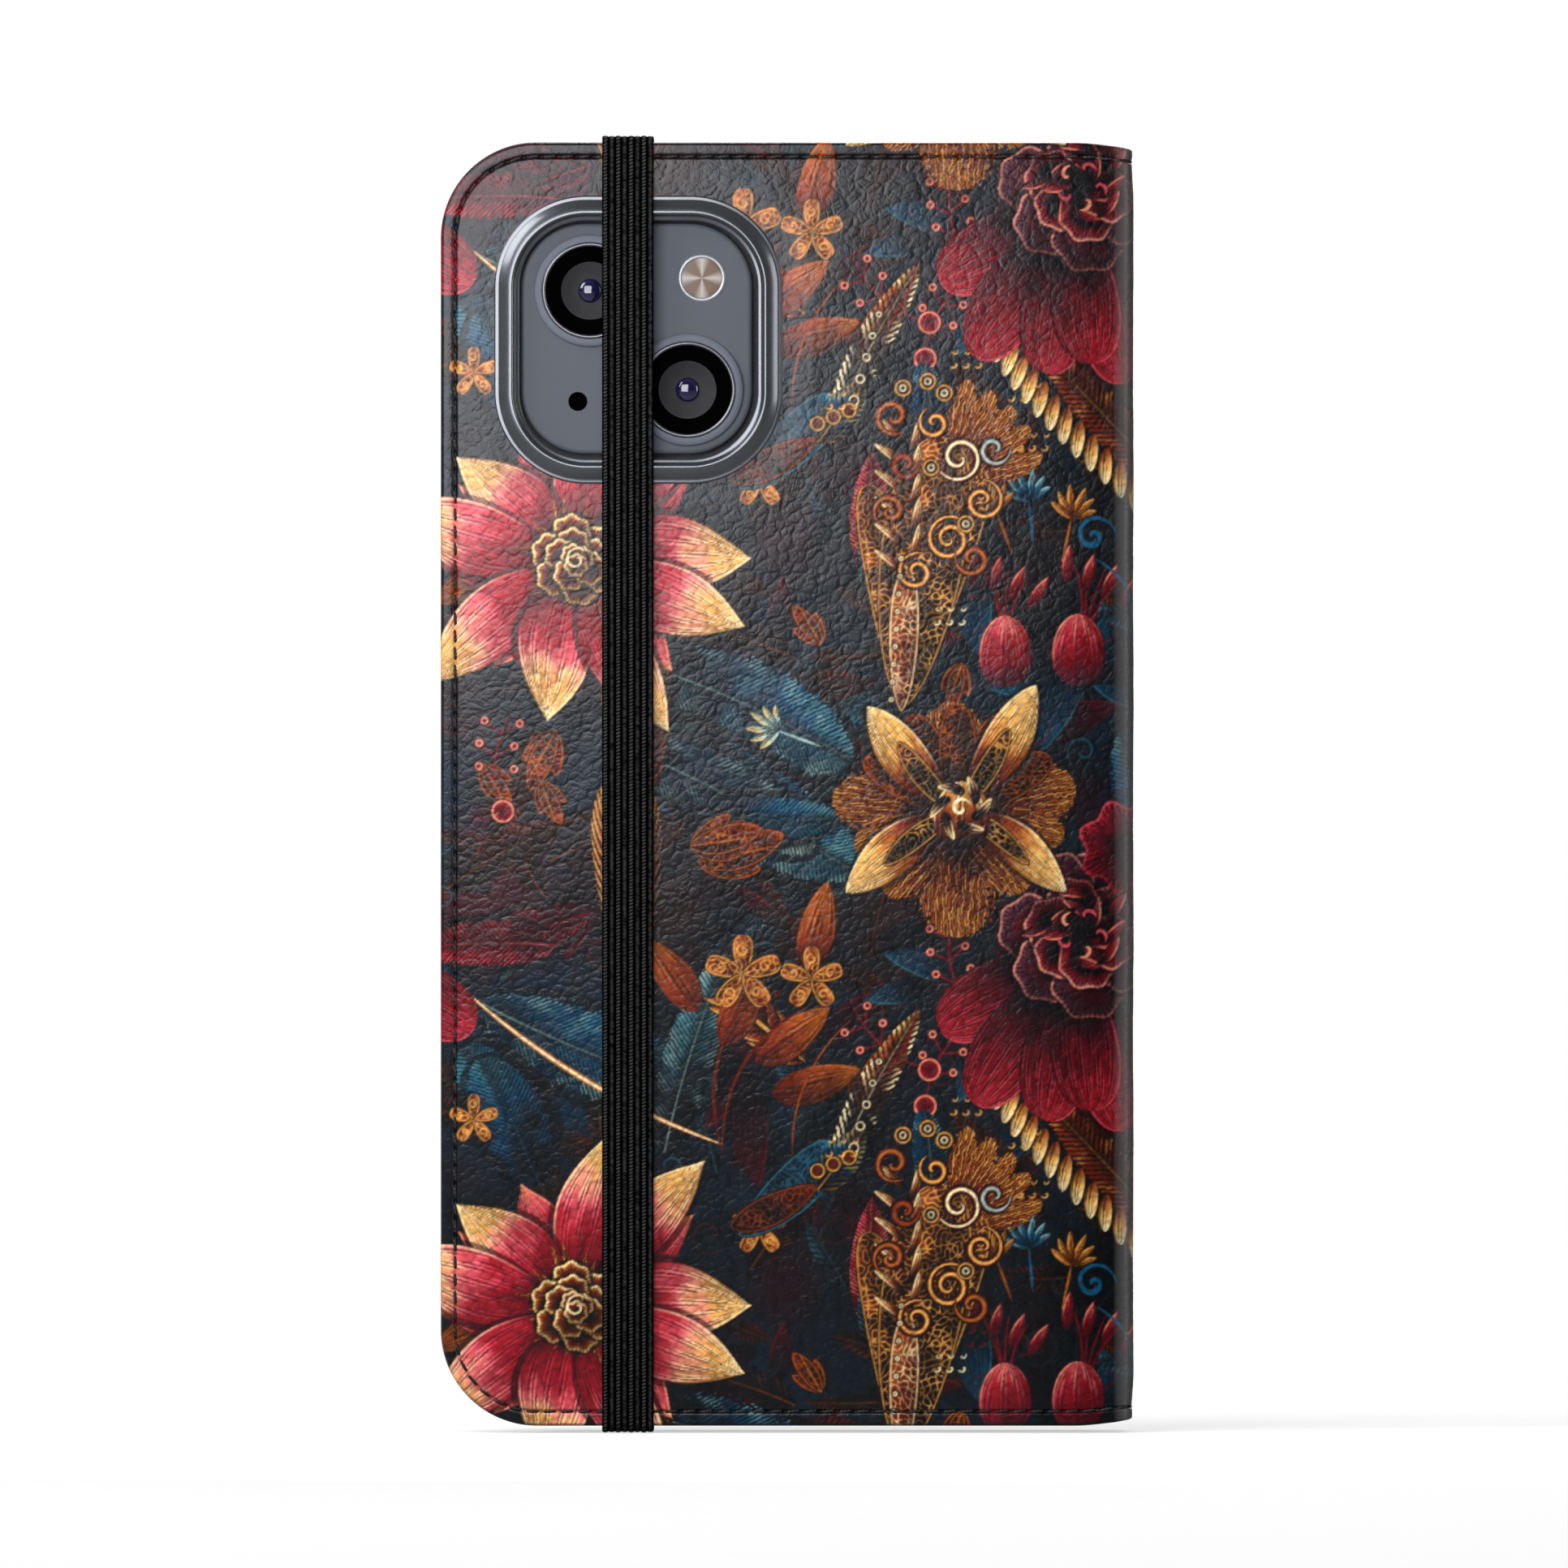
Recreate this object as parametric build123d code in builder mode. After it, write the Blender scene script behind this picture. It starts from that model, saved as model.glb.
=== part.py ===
"""Folding wallet case for a phone: a leather-covered back, spine and front that fold like a book,
a moulded tray that holds the phone on the back, card pockets in the front, and an elastic strap.

The closed case stands on its lower edge. +Z runs up its height, +X from the free edge to the spine,
and +Y from the back cover, where the camera window is, to the front cover. Millimetres.
"""

import os

from build123d import *

# The phone that the tray holds
phone_width, phone_height, phone_depth = 71.5, 146.7, 7.8
phone_corner = 11.0

# Outer size of each cover
cover_width, cover_height = 83.5, 155.0
cover_corner = 11.6
hem_width = 2.2  # turned edge of the leather, beside the board
rim_chamfer = 0.25
board_to_fold, lining_to_fold = 2.0, 2.4  # how far each stops short of the leather's end
lining_inset = 0.5

# Sheet thicknesses
skin = 0.9
board = 1.2
lining = 0.5
pocket_sheet = 0.5
pad, pad_inset = 0.2, 4.0
spine_board_depth, spine_lining_depth = 0.8, 0.4

# Phone tray
tray_wall, tray_floor = 1.25, 1.2
phone_play = 0.15  # between the phone and the tray's wall, and in depth
lip_depth, lip_reach = 0.6, 0.7
lip_rounding, tray_chamfer = 0.45, 0.4
tray_to_pockets = 0.4

# Cut-outs in the tray's walls: each one's length, width and corner, and where the keys' middles are
port_cut, volume_cut, side_cut = (42.0, 5.6, 2.6), (42.0, 5.2, 2.4), (22.0, 5.2, 2.4)
volume_from_top, side_from_top = 37.0, 38.0
cut_from, cut_depth = 0.5, 3.0  # starts this far inside the phone's or the tray's face

# Camera window, measured from the free edge and from the top edge of the back cover
window_from_edges = 23.87
bezel_outer, bezel_outer_corner = 34.8, 11.3
bezel_inner, bezel_inner_corner = 29.2, 8.3
bezel_flange, bezel_flange_depth = 0.35, 0.35
bezel_proud = 1.0
bezel_rounding, bezel_chamfer = 0.9, 0.6
bezel_to_pad = 1.5
window_play = 0.15

# Elastic strap
strap_width, strap_depth, strap_play = 6.2, 0.75, 0.05
strap_from_edge = 22.6
strap_tuck = 12.0  # how far each end runs down inside the front cover
strap_bend = 0.45
strap_rest = 1.0  # how far inside the bezel's edges the strap's level run ends
slot_play = 0.2

# Stitching along the edges
stitch_inset, stitch_pitch, stitch_length, thread = 1.75, 2.1, 1.6, 0.3
groove_width, groove_depth = 0.5, 0.35
tack_stitches, tack_from_mouth = 3, 3.4

# Card pockets: where each mouth stands, from the free edge, and the relief that holds a card
card_mouths = [61.0, 53.0, 45.0]
pocket_inset, pocket_relief, pocket_seam = 2.6, 0.1, 2.4
cash_mouth = 72.0

# Depths through the closed case, from the back cover's outer face
back_board_at = skin
back_lining_at = back_board_at + board
pad_at = back_lining_at + lining
tray_at = pad_at + pad
pocket_floor_at = tray_at + tray_floor
lip_at = pocket_floor_at + phone_depth + phone_play + 0.05
tray_top = lip_at + lip_depth
card_sheets_at = tray_top + tray_to_pockets
cash_sheet_at = card_sheets_at + pocket_sheet * len(card_mouths)
front_lining_at = cash_sheet_at + pocket_sheet
front_board_at = front_lining_at + lining
front_skin_at = front_board_at + board
case_depth = front_skin_at + skin
strap_outer_at = -(bezel_proud + strap_play + strap_depth)
mid_depth = (case_depth + strap_outer_at) / 2

# Places in the case's own frame
free_edge, spine_face = -cover_width / 2, cover_width / 2
cover_base = strap_depth + strap_play
cover_top = cover_base + cover_height
cover_mid = (cover_base + cover_top) / 2
fold_x = spine_face - skin / 2
fold_radius = skin / 2
fold_gap = 0.05
panel_end = fold_x - fold_radius - fold_gap
camera_x, camera_z = free_edge + window_from_edges, cover_top - window_from_edges
strap_x = free_edge + strap_from_edge
phone_top = cover_mid + phone_height / 2
phone_x = camera_x - (phone_top - camera_z) + phone_width / 2


def depth_plane(depth):
    """The upright plane at this depth from the back cover's outer face: local x is +X, local y is +Z."""
    return Plane(origin=(0, depth - mid_depth, 0), x_dir=(1, 0, 0), z_dir=(0, -1, 0))


def cover_outline(depth, inset=0.0, end=panel_end):
    """A cover's outline: square at the fold, rounded at the free edge, this far inside the cover's edge."""
    left = free_edge + inset
    with BuildSketch(depth_plane(depth)) as outline:
        with Locations(((left + end) / 2, cover_mid)):
            Rectangle(end - left, cover_height - 2 * inset)
        fillet(outline.vertices().group_by(Axis.X)[0], cover_corner - inset)
    return outline.sketch


def rounded(depth, x, z, width, height, radius):
    """A rounded rectangle on the upright plane at this depth."""
    with BuildSketch(depth_plane(depth)) as shape:
        with Locations((x, z)):
            RectangleRounded(width, height, radius)
    return shape.sketch


def camera_square(depth, size, corner):
    """A rounded square centred on the camera window."""
    return rounded(depth, camera_x, camera_z, size, size, corner)


def phone_outline(depth, grow):
    """The phone's outline, grown by this much all round."""
    return rounded(
        depth, phone_x, cover_mid, phone_width + 2 * grow, phone_height + 2 * grow, phone_corner + grow
    )


def stitch_line(depth):
    """The seam's path on a cover: along the lower edge, up the free edge and along the upper edge."""
    left, low, high = free_edge + stitch_inset, cover_base + stitch_inset, cover_top - stitch_inset
    radius = cover_corner - stitch_inset
    y = depth - mid_depth
    with BuildLine() as seam:
        FilletPolyline(
            (panel_end, y, low), (left, y, low), (left, y, high), (panel_end, y, high), radius=radius
        )
    return seam.wire()


def stitch_places(path, length, first=stitch_pitch / 2):
    """Evenly spaced places along a seam, each turned along it."""
    count = int((length - first) / stitch_pitch)
    return [path.location_at((first + i * stitch_pitch) / length) for i in range(count + 1)]


def seam_groove(depth):
    """The band that a cover's seam presses into the leather."""
    outer_edge, inner_edge = stitch_inset - groove_width / 2, stitch_inset + groove_width / 2
    return cover_outline(depth, outer_edge) - cover_outline(depth, inner_edge)


# ---------------------------------------------------------------- back cover
with BuildPart() as back_skin:
    extrude(cover_outline(0), amount=-(skin + board))
    extrude(cover_outline(skin, hem_width), amount=-board, mode=Mode.SUBTRACT)
    free_rim = back_skin.faces().sort_by(Axis.Y)[0].outer_wire().edges()
    chamfer(free_rim.filter_by(lambda e: e.center().X < panel_end - rim_chamfer), rim_chamfer)
    window = bezel_outer - 2 * bezel_flange + 2 * window_play
    window_corner = bezel_outer_corner - bezel_flange + window_play
    extrude(camera_square(0, window, window_corner), amount=-(skin + board), mode=Mode.SUBTRACT)
    extrude(seam_groove(0), amount=-groove_depth, mode=Mode.SUBTRACT)
back_skin.part.label = "back_skin"

with BuildPart() as back_board:
    extrude(cover_outline(back_board_at, hem_width, panel_end - board_to_fold), amount=-board)
    extrude(camera_square(back_board_at, window, window_corner), amount=-board, mode=Mode.SUBTRACT)
back_board.part.label = "back_board"

with BuildPart() as back_lining:
    extrude(cover_outline(back_lining_at, lining_inset, panel_end - lining_to_fold), amount=-lining)
    extrude(camera_square(back_lining_at, window, window_corner), amount=-lining, mode=Mode.SUBTRACT)
back_lining.part.label = "back_lining"

with BuildPart() as back_stitching:
    back_seam = stitch_line(groove_depth - thread / 2)
    with Locations(*stitch_places(back_seam, back_seam.length)):
        Box(thread, thread, stitch_length)
back_stitching.part.label = "back_stitching"

with BuildPart() as fold_roll_back:
    with Locations((fold_x, fold_radius - mid_depth, cover_mid)):
        Cylinder(fold_radius, cover_height)
fold_roll_back.part.label = "fold_roll_back"

# ---------------------------------------------------------------- tray and camera bezel
with BuildPart() as tray_pad:
    extrude(phone_outline(pad_at, -pad_inset), amount=-pad)
    extrude(
        camera_square(pad_at, bezel_outer + 2 * bezel_to_pad, bezel_outer_corner + bezel_to_pad),
        amount=-pad,
        mode=Mode.SUBTRACT,
    )
tray_pad.part.label = "tray_pad"

with BuildPart() as phone_tray:
    tray_grow = phone_play + tray_wall
    extrude(phone_outline(tray_at, tray_grow), amount=-(tray_top - tray_at))
    fillet(phone_tray.faces().sort_by(Axis.Y)[-1].edges(), lip_rounding)
    chamfer(phone_tray.faces().sort_by(Axis.Y)[0].edges(), tray_chamfer)
    extrude(
        phone_outline(pocket_floor_at, phone_play), amount=-(lip_at - pocket_floor_at), mode=Mode.SUBTRACT
    )
    extrude(phone_outline(lip_at, phone_play - lip_reach), amount=-lip_depth, mode=Mode.SUBTRACT)
    extrude(
        camera_square(tray_at, bezel_inner, bezel_inner_corner), amount=-tray_floor, mode=Mode.SUBTRACT
    )
    # cut-outs in the walls: charging port and speakers, volume and mute keys, side key
    key_depth = pocket_floor_at + phone_depth / 2 - mid_depth
    with BuildSketch(Plane.XY.offset(cover_mid - phone_height / 2 - tray_grow - cut_from)):
        with Locations((phone_x, key_depth)):
            RectangleRounded(*port_cut)
    extrude(amount=cut_depth, mode=Mode.SUBTRACT)
    for (length, width, corner), start, from_top in (
        (volume_cut, phone_x + phone_width / 2 - cut_from, volume_from_top),
        (side_cut, phone_x - phone_width / 2 + cut_from - cut_depth, side_from_top),
    ):
        with BuildSketch(Plane.YZ.offset(start)):
            with Locations((key_depth, phone_top - from_top)):
                RectangleRounded(width, length, corner)
        extrude(amount=cut_depth, mode=Mode.SUBTRACT)
phone_tray.part.label = "phone_tray"

with BuildPart() as camera_bezel:
    neck, neck_corner = bezel_outer - 2 * bezel_flange, bezel_outer_corner - bezel_flange
    extrude(camera_square(-bezel_proud, neck, neck_corner), amount=-(tray_at + bezel_proud))
    fillet(camera_bezel.faces().sort_by(Axis.Y)[0].edges(), bezel_rounding)
    extrude(
        camera_square(-bezel_flange_depth, bezel_outer, bezel_outer_corner), amount=-bezel_flange_depth
    )
    extrude(
        camera_square(-bezel_proud, bezel_inner, bezel_inner_corner),
        amount=-(tray_at + bezel_proud),
        mode=Mode.SUBTRACT,
    )
    crest = camera_bezel.faces().sort_by(Axis.Y)[0]
    chamfer(crest.inner_wires()[0].edges(), bezel_chamfer)
camera_bezel.part.label = "camera_bezel"

# ---------------------------------------------------------------- spine
spine_start, spine_end = skin + fold_gap, case_depth - skin - fold_gap
spine_mid = (spine_start + spine_end) / 2 - mid_depth
spine_length = spine_end - spine_start
spine_seams = (cover_base + stitch_inset, cover_top - stitch_inset)
hem_board = board + 0.5  # how much further in the spine's board starts, to clear the covers' boards
spine_lining_inset = 0.4

with BuildPart() as spine_skin:
    with Locations((fold_x, spine_mid, cover_mid)):
        Box(skin, spine_length, cover_height)
    for hem_z in (cover_base + hem_width / 2, cover_top - hem_width / 2):
        with Locations((fold_x - skin / 2 - spine_board_depth / 2, spine_mid, hem_z)):
            Box(spine_board_depth, spine_length - 2 * hem_board, hem_width)
    for seam_z in spine_seams:
        with Locations((spine_face - groove_depth / 2, spine_mid, seam_z)):
            Box(groove_depth, spine_length, groove_width, mode=Mode.SUBTRACT)
spine_skin.part.label = "spine_skin"

with BuildPart() as spine_board:
    with Locations((fold_x - skin / 2 - spine_board_depth / 2, spine_mid, cover_mid)):
        Box(spine_board_depth, spine_length - 2 * hem_board, cover_height - 2 * hem_width)
spine_board.part.label = "spine_board"

with BuildPart() as spine_lining:
    spine_lining_length = spine_length - 2 * (hem_board + spine_lining_inset)
    with Locations((fold_x - skin / 2 - spine_board_depth - spine_lining_depth / 2, spine_mid, cover_mid)):
        Box(spine_lining_depth, spine_lining_length, cover_height - 2 * lining_inset)
spine_lining.part.label = "spine_lining"

with BuildPart() as spine_stitching:
    stitch_count = int(spine_length / stitch_pitch)
    for seam_z in spine_seams:
        with Locations((spine_face - groove_depth + thread / 2, spine_mid, seam_z)):
            with GridLocations(stitch_pitch, stitch_pitch, 1, stitch_count):
                Box(thread, stitch_length, thread)
spine_stitching.part.label = "spine_stitching"

# ---------------------------------------------------------------- front cover
strap_slot_top = (strap_x, front_board_at + strap_depth / 2 - mid_depth, cover_top - strap_tuck / 2)
strap_slot_low = (strap_x, front_board_at + strap_depth / 2 - mid_depth, cover_base + strap_tuck / 2)
slot_size = (strap_width + slot_play, strap_depth, strap_tuck)

with BuildPart() as front_skin:
    extrude(cover_outline(front_board_at), amount=-(skin + board))
    extrude(cover_outline(front_board_at, hem_width), amount=-board, mode=Mode.SUBTRACT)
    outer_rim = front_skin.faces().sort_by(Axis.Y)[-1].outer_wire().edges()
    chamfer(outer_rim.filter_by(lambda e: e.center().X < panel_end - rim_chamfer), rim_chamfer)
    extrude(seam_groove(case_depth - groove_depth), amount=-groove_depth, mode=Mode.SUBTRACT)
    with Locations(strap_slot_top, strap_slot_low):
        Box(*slot_size, mode=Mode.SUBTRACT)
front_skin.part.label = "front_skin"

with BuildPart() as front_board:
    extrude(cover_outline(front_board_at, hem_width, panel_end - board_to_fold), amount=-board)
    with Locations(strap_slot_top, strap_slot_low):
        Box(*slot_size, mode=Mode.SUBTRACT)
front_board.part.label = "front_board"

with BuildPart() as front_lining:
    extrude(cover_outline(front_lining_at, lining_inset, panel_end - lining_to_fold), amount=-lining)
front_lining.part.label = "front_lining"

with BuildPart() as front_stitching:
    front_seam = stitch_line(case_depth - groove_depth + thread / 2)
    with Locations(*stitch_places(front_seam, front_seam.length)):
        Box(thread, thread, stitch_length)
front_stitching.part.label = "front_stitching"

with BuildPart() as fold_roll_front:
    with Locations((fold_x, case_depth - fold_radius - mid_depth, cover_mid)):
        Cylinder(fold_radius, cover_height)
fold_roll_front.part.label = "fold_roll_front"


def pocket(depth, mouth):
    """A pocket sheet sewn down on three sides, open along its mouth, with a shallow relief behind it."""
    end = free_edge + mouth
    with BuildPart() as sheet:
        extrude(cover_outline(depth, pocket_inset, end), amount=-pocket_sheet)
        relief = cover_outline(depth + pocket_sheet - pocket_relief, pocket_inset + pocket_seam, end)
        extrude(relief, amount=-pocket_relief, mode=Mode.SUBTRACT)
    return sheet.part


cash_pocket = pocket(cash_sheet_at, cash_mouth)
cash_pocket.label = "cash_pocket"
card_pockets = []
for number, mouth in enumerate(card_mouths, start=1):
    card_pocket = pocket(cash_sheet_at - number * pocket_sheet, mouth)
    card_pocket.label = f"card_pocket_{number}"
    card_pockets.append(card_pocket)

with BuildPart() as pocket_stitching:
    # one short row over each end of every mouth, laid on the sheet's face
    tack_inset = pocket_inset + pocket_seam / 2
    for number, mouth in enumerate(card_mouths, start=1):
        tack_y = cash_sheet_at - number * pocket_sheet - thread / 2 - mid_depth
        for tack_z in (cover_base + tack_inset, cover_top - tack_inset):
            with Locations((free_edge + mouth - tack_from_mouth, tack_y, tack_z)):
                with GridLocations(stitch_pitch, stitch_pitch, tack_stitches, 1):
                    Box(stitch_length, thread, thread)
pocket_stitching.part.label = "pocket_stitching"

# ---------------------------------------------------------------- elastic strap
with BuildPart() as elastic_strap:
    half = strap_depth / 2
    end_y = front_board_at + half - mid_depth
    run_top, run_low = cover_top + strap_play + half, cover_base - strap_play - half
    back_y = -strap_play - half - mid_depth
    crest_y = -bezel_proud - strap_play - half - mid_depth
    crest_top, crest_low = camera_z + bezel_outer / 2 - strap_rest, camera_z - bezel_outer / 2 + strap_rest
    tucked = strap_tuck - slot_play
    with BuildSketch(Plane.YZ.offset(strap_x - strap_width / 2)) as strap_side:
        with BuildLine():
            FilletPolyline(
                (end_y, cover_top - tucked),
                (end_y, run_top),
                (back_y, run_top),
                (crest_y, crest_top),
                (crest_y, crest_low),
                (back_y, run_low),
                (end_y, run_low),
                (end_y, cover_base + tucked),
                radius=strap_bend,
            )
        trace(line_width=strap_depth)
    extrude(amount=strap_width)
elastic_strap.part.label = "elastic_strap"

# ---------------------------------------------------------------- one STEP file for each piece
os.makedirs("parts", exist_ok=True)
builders = [
    back_skin, back_board, back_lining, back_stitching, fold_roll_back, tray_pad, phone_tray,
    camera_bezel, spine_skin, spine_board, spine_lining, spine_stitching, front_skin, front_board,
    front_lining, front_stitching, fold_roll_front, pocket_stitching, elastic_strap,
]
for piece in [builder.part for builder in builders] + [cash_pocket] + card_pockets:
    export_step(piece, f"parts/{piece.label}.step")
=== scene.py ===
"""Looks for the folding phone case: printed leather, elastic strap, camera bezel, linings and pockets.

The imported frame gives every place. The case stands closed on its lower edge, +Z up, with the camera
window in the back cover on the -Y side and the spine on the +X side. Shapes are worked out in
millimetres, and turned into metres when a mesh is made.
"""

import math

import bpy
import numpy as np
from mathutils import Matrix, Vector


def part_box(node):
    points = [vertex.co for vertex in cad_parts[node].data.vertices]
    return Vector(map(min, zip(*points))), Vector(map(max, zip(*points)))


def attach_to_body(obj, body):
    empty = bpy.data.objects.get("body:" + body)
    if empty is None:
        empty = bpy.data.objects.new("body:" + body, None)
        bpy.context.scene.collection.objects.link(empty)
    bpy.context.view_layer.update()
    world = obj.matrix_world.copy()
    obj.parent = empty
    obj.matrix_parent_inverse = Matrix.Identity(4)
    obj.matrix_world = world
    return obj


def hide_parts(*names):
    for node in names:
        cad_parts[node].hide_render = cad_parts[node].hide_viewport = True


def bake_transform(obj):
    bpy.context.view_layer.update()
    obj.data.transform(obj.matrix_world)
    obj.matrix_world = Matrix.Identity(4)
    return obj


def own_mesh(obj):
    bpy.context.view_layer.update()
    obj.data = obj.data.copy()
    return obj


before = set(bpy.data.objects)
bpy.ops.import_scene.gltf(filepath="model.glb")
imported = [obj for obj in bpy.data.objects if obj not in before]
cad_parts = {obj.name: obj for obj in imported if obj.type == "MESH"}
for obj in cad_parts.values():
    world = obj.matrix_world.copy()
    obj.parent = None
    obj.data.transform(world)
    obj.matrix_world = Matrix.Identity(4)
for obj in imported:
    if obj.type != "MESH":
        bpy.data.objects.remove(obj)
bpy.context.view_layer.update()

MM = 0.001


def cad_mm(node):
    """The lowest and highest corners of a CAD node, in millimetres."""
    return tuple(np.array(corner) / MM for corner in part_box(node))


# ------------------------------------------------------------------------------------ measures
back_low, back_high = cad_mm("back_skin")
lining_low, lining_high = cad_mm("back_lining")
bezel_low, bezel_high = cad_mm("camera_bezel")
strap_low, strap_high = cad_mm("elastic_strap")
tray_low, tray_high = cad_mm("phone_tray")

FREE_EDGE, SPINE_FACE = back_low[0], cad_mm("spine_skin")[1][0]
BASE, TOP = back_low[2], back_high[2]
BACK_FACE, FRONT_FACE = back_low[1], cad_mm("front_skin")[1][1]
COVER_THICK = back_high[1] - back_low[1]
COVER_CORNER = 11.6
FOLD_RADIUS = 2.0
HEIGHT, MID_Z = TOP - BASE, (TOP + BASE) / 2
CAMERA_X, CAMERA_Z = (bezel_low[0] + bezel_high[0]) / 2, (bezel_low[2] + bezel_high[2]) / 2
BEZEL_SIZE, BEZEL_CORNER = bezel_high[0] - bezel_low[0], 11.3
WINDOW_SIZE, WINDOW_CORNER = 29.2, 8.3
STITCH_INSET, STITCH_PITCH = 1.75, 2.1


def smooth(low, high, value):
    """0 below low, 1 above high, smooth between."""
    t = np.clip((value - low) / (high - low), 0, 1)
    return t * t * (3 - 2 * t)


# ------------------------------------------------------------------------------------ meshes
def xyz(x, y, z):
    """Points from their coordinates, which may be grids, rows, columns or single numbers."""
    return np.stack(np.broadcast_arrays(x, y, z), axis=-1).reshape(-1, 3)


def mesh_piece(name, points, quads, material, smooth_faces=True, colours=None, flat=None):
    """A mesh object from points in millimetres and four-sided faces. flat holds each point's place on the
    unbent sheet, in metres, and colours its linear print colour."""
    points, quads = np.asarray(points, float), np.asarray(quads, np.int32)
    mesh = bpy.data.meshes.new(name)
    mesh.vertices.add(len(points))
    mesh.vertices.foreach_set("co", (points * MM).astype(np.float32).ravel())
    mesh.loops.add(quads.size)
    mesh.loops.foreach_set("vertex_index", quads.ravel())
    mesh.polygons.add(len(quads))
    mesh.polygons.foreach_set("loop_start", np.arange(len(quads), dtype=np.int32) * 4)
    mesh.update(calc_edges=True)
    mesh.polygons.foreach_set("use_smooth", np.full(len(quads), smooth_faces))
    if colours is not None:
        layer = mesh.color_attributes.new("print", "FLOAT_COLOR", "POINT")
        full = np.concatenate([colours, np.ones((len(colours), 1))], axis=1)
        layer.data.foreach_set("color", full.astype(np.float32).ravel())
    if flat is not None:
        layer = mesh.attributes.new("flat", "FLOAT_VECTOR", "POINT")
        layer.data.foreach_set("vector", np.asarray(flat, np.float32).ravel())
    mesh.validate()
    mesh.materials.append(material)
    piece = bpy.data.objects.new(name, mesh)
    bpy.context.scene.collection.objects.link(piece)
    return piece


def grid_quads(rows, columns, wrap_rows=False, wrap_columns=False):
    """Faces of a grid of points kept row by row. A wrapped side joins its last points to its first."""
    r = np.arange(rows if wrap_rows else rows - 1)[:, None]
    c = np.arange(columns if wrap_columns else columns - 1)
    up, right = (r + 1) % rows, (c + 1) % columns
    corners = [r * columns + c, r * columns + right, up * columns + right, up * columns + c]
    return np.stack([corner.ravel() for corner in corners], axis=1)


def rounded_loop(width, height, corner, spacing):
    """Evenly spaced points and outward normals, anticlockwise round a rounded rectangle about the origin."""
    straight = (width - 2 * corner, height - 2 * corner)
    quarter = math.pi * corner / 2
    ends = np.concatenate([[0], np.cumsum([straight[1], quarter, straight[0], quarter] * 2)])
    count = max(16, round(ends[-1] / spacing))
    points, normals = [], []
    for s in (np.arange(count) + 0.5) * ends[-1] / count:
        k = min(int(np.searchsorted(ends, s, side="right")) - 1, 7)
        along, turn = s - ends[k], math.pi / 2 * (k // 2)
        angle = turn + along / corner * (k % 2)
        normal = np.array([math.cos(angle), math.sin(angle)])
        if k % 2:
            side_x, side_y = [(1, 1), (-1, 1), (-1, -1), (1, -1)][k // 2]
            middle = np.array([side_x * straight[0] / 2, side_y * straight[1] / 2])
            points.append(middle + corner * normal)
        else:
            ahead = np.array([-normal[1], normal[0]])
            half_out, half_along = (height / 2, straight[0] / 2) if k % 4 else (width / 2, straight[1] / 2)
            points.append(normal * half_out + ahead * (along - half_along))
        normals.append(normal)
    return np.array(points), np.array(normals)


def swept_ring(name, loop, profile, place, material, closed=False):
    """A ring that carries a profile of (distance outward, height towards -Y) round a loop."""
    (points, normals), profile = loop, np.asarray(profile, float)
    x, z = (points[:, None, i] + normals[:, None, i] * profile[:, 0] + place[2 * i] for i in (0, 1))
    quads = grid_quads(len(points), len(profile), wrap_rows=True, wrap_columns=closed)
    return mesh_piece(name, xyz(x, place[1] - profile[:, 1], z), quads, material)


def turned(name, profile, place, material):
    """A turned piece about an axis along Y: profile points are (radius, height towards -Y)."""
    segments = 96
    angle = np.linspace(0, 2 * math.pi, segments, endpoint=False)
    around = np.stack([np.cos(angle), np.sin(angle)], axis=1)
    return swept_ring(name, (0 * around, around), profile, place, material)


def evenly(points, spacing, fewest):
    """Places at even distances along a line through points, and those distances."""
    points = np.asarray(points, float)
    length = np.concatenate([[0], np.cumsum(np.hypot(*np.diff(points, axis=0).T))])
    where = np.linspace(0, length[-1], max(fewest, round(length[-1] / spacing)))
    return np.stack([np.interp(where, length, points[:, i]) for i in range(2)], axis=1), where


def smooth_profile(points):
    """A profile resampled finely and softened at its corners."""
    fine, _ = evenly(points, 0.06, 8)
    for _ in range(2):
        fine[1:-1] = (fine[:-2] + 2 * fine[1:-1] + fine[2:]) / 4
    return fine


def sample(grid, row, column):
    """A repeating grid's value between its samples."""
    r, c = np.floor(row).astype(int), np.floor(column).astype(int)
    wide = (...,) + (None,) * (grid.ndim - 2)
    up, right = (row - r)[wide], (column - c)[wide]
    rows, columns = grid.shape[:2]
    left, after = c % columns, (c + 1) % columns
    low, high = (grid[k % rows, left] * (1 - right) + grid[k % rows, after] * right for k in (r, r + 1))
    return low * (1 - up) + high * up


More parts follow.
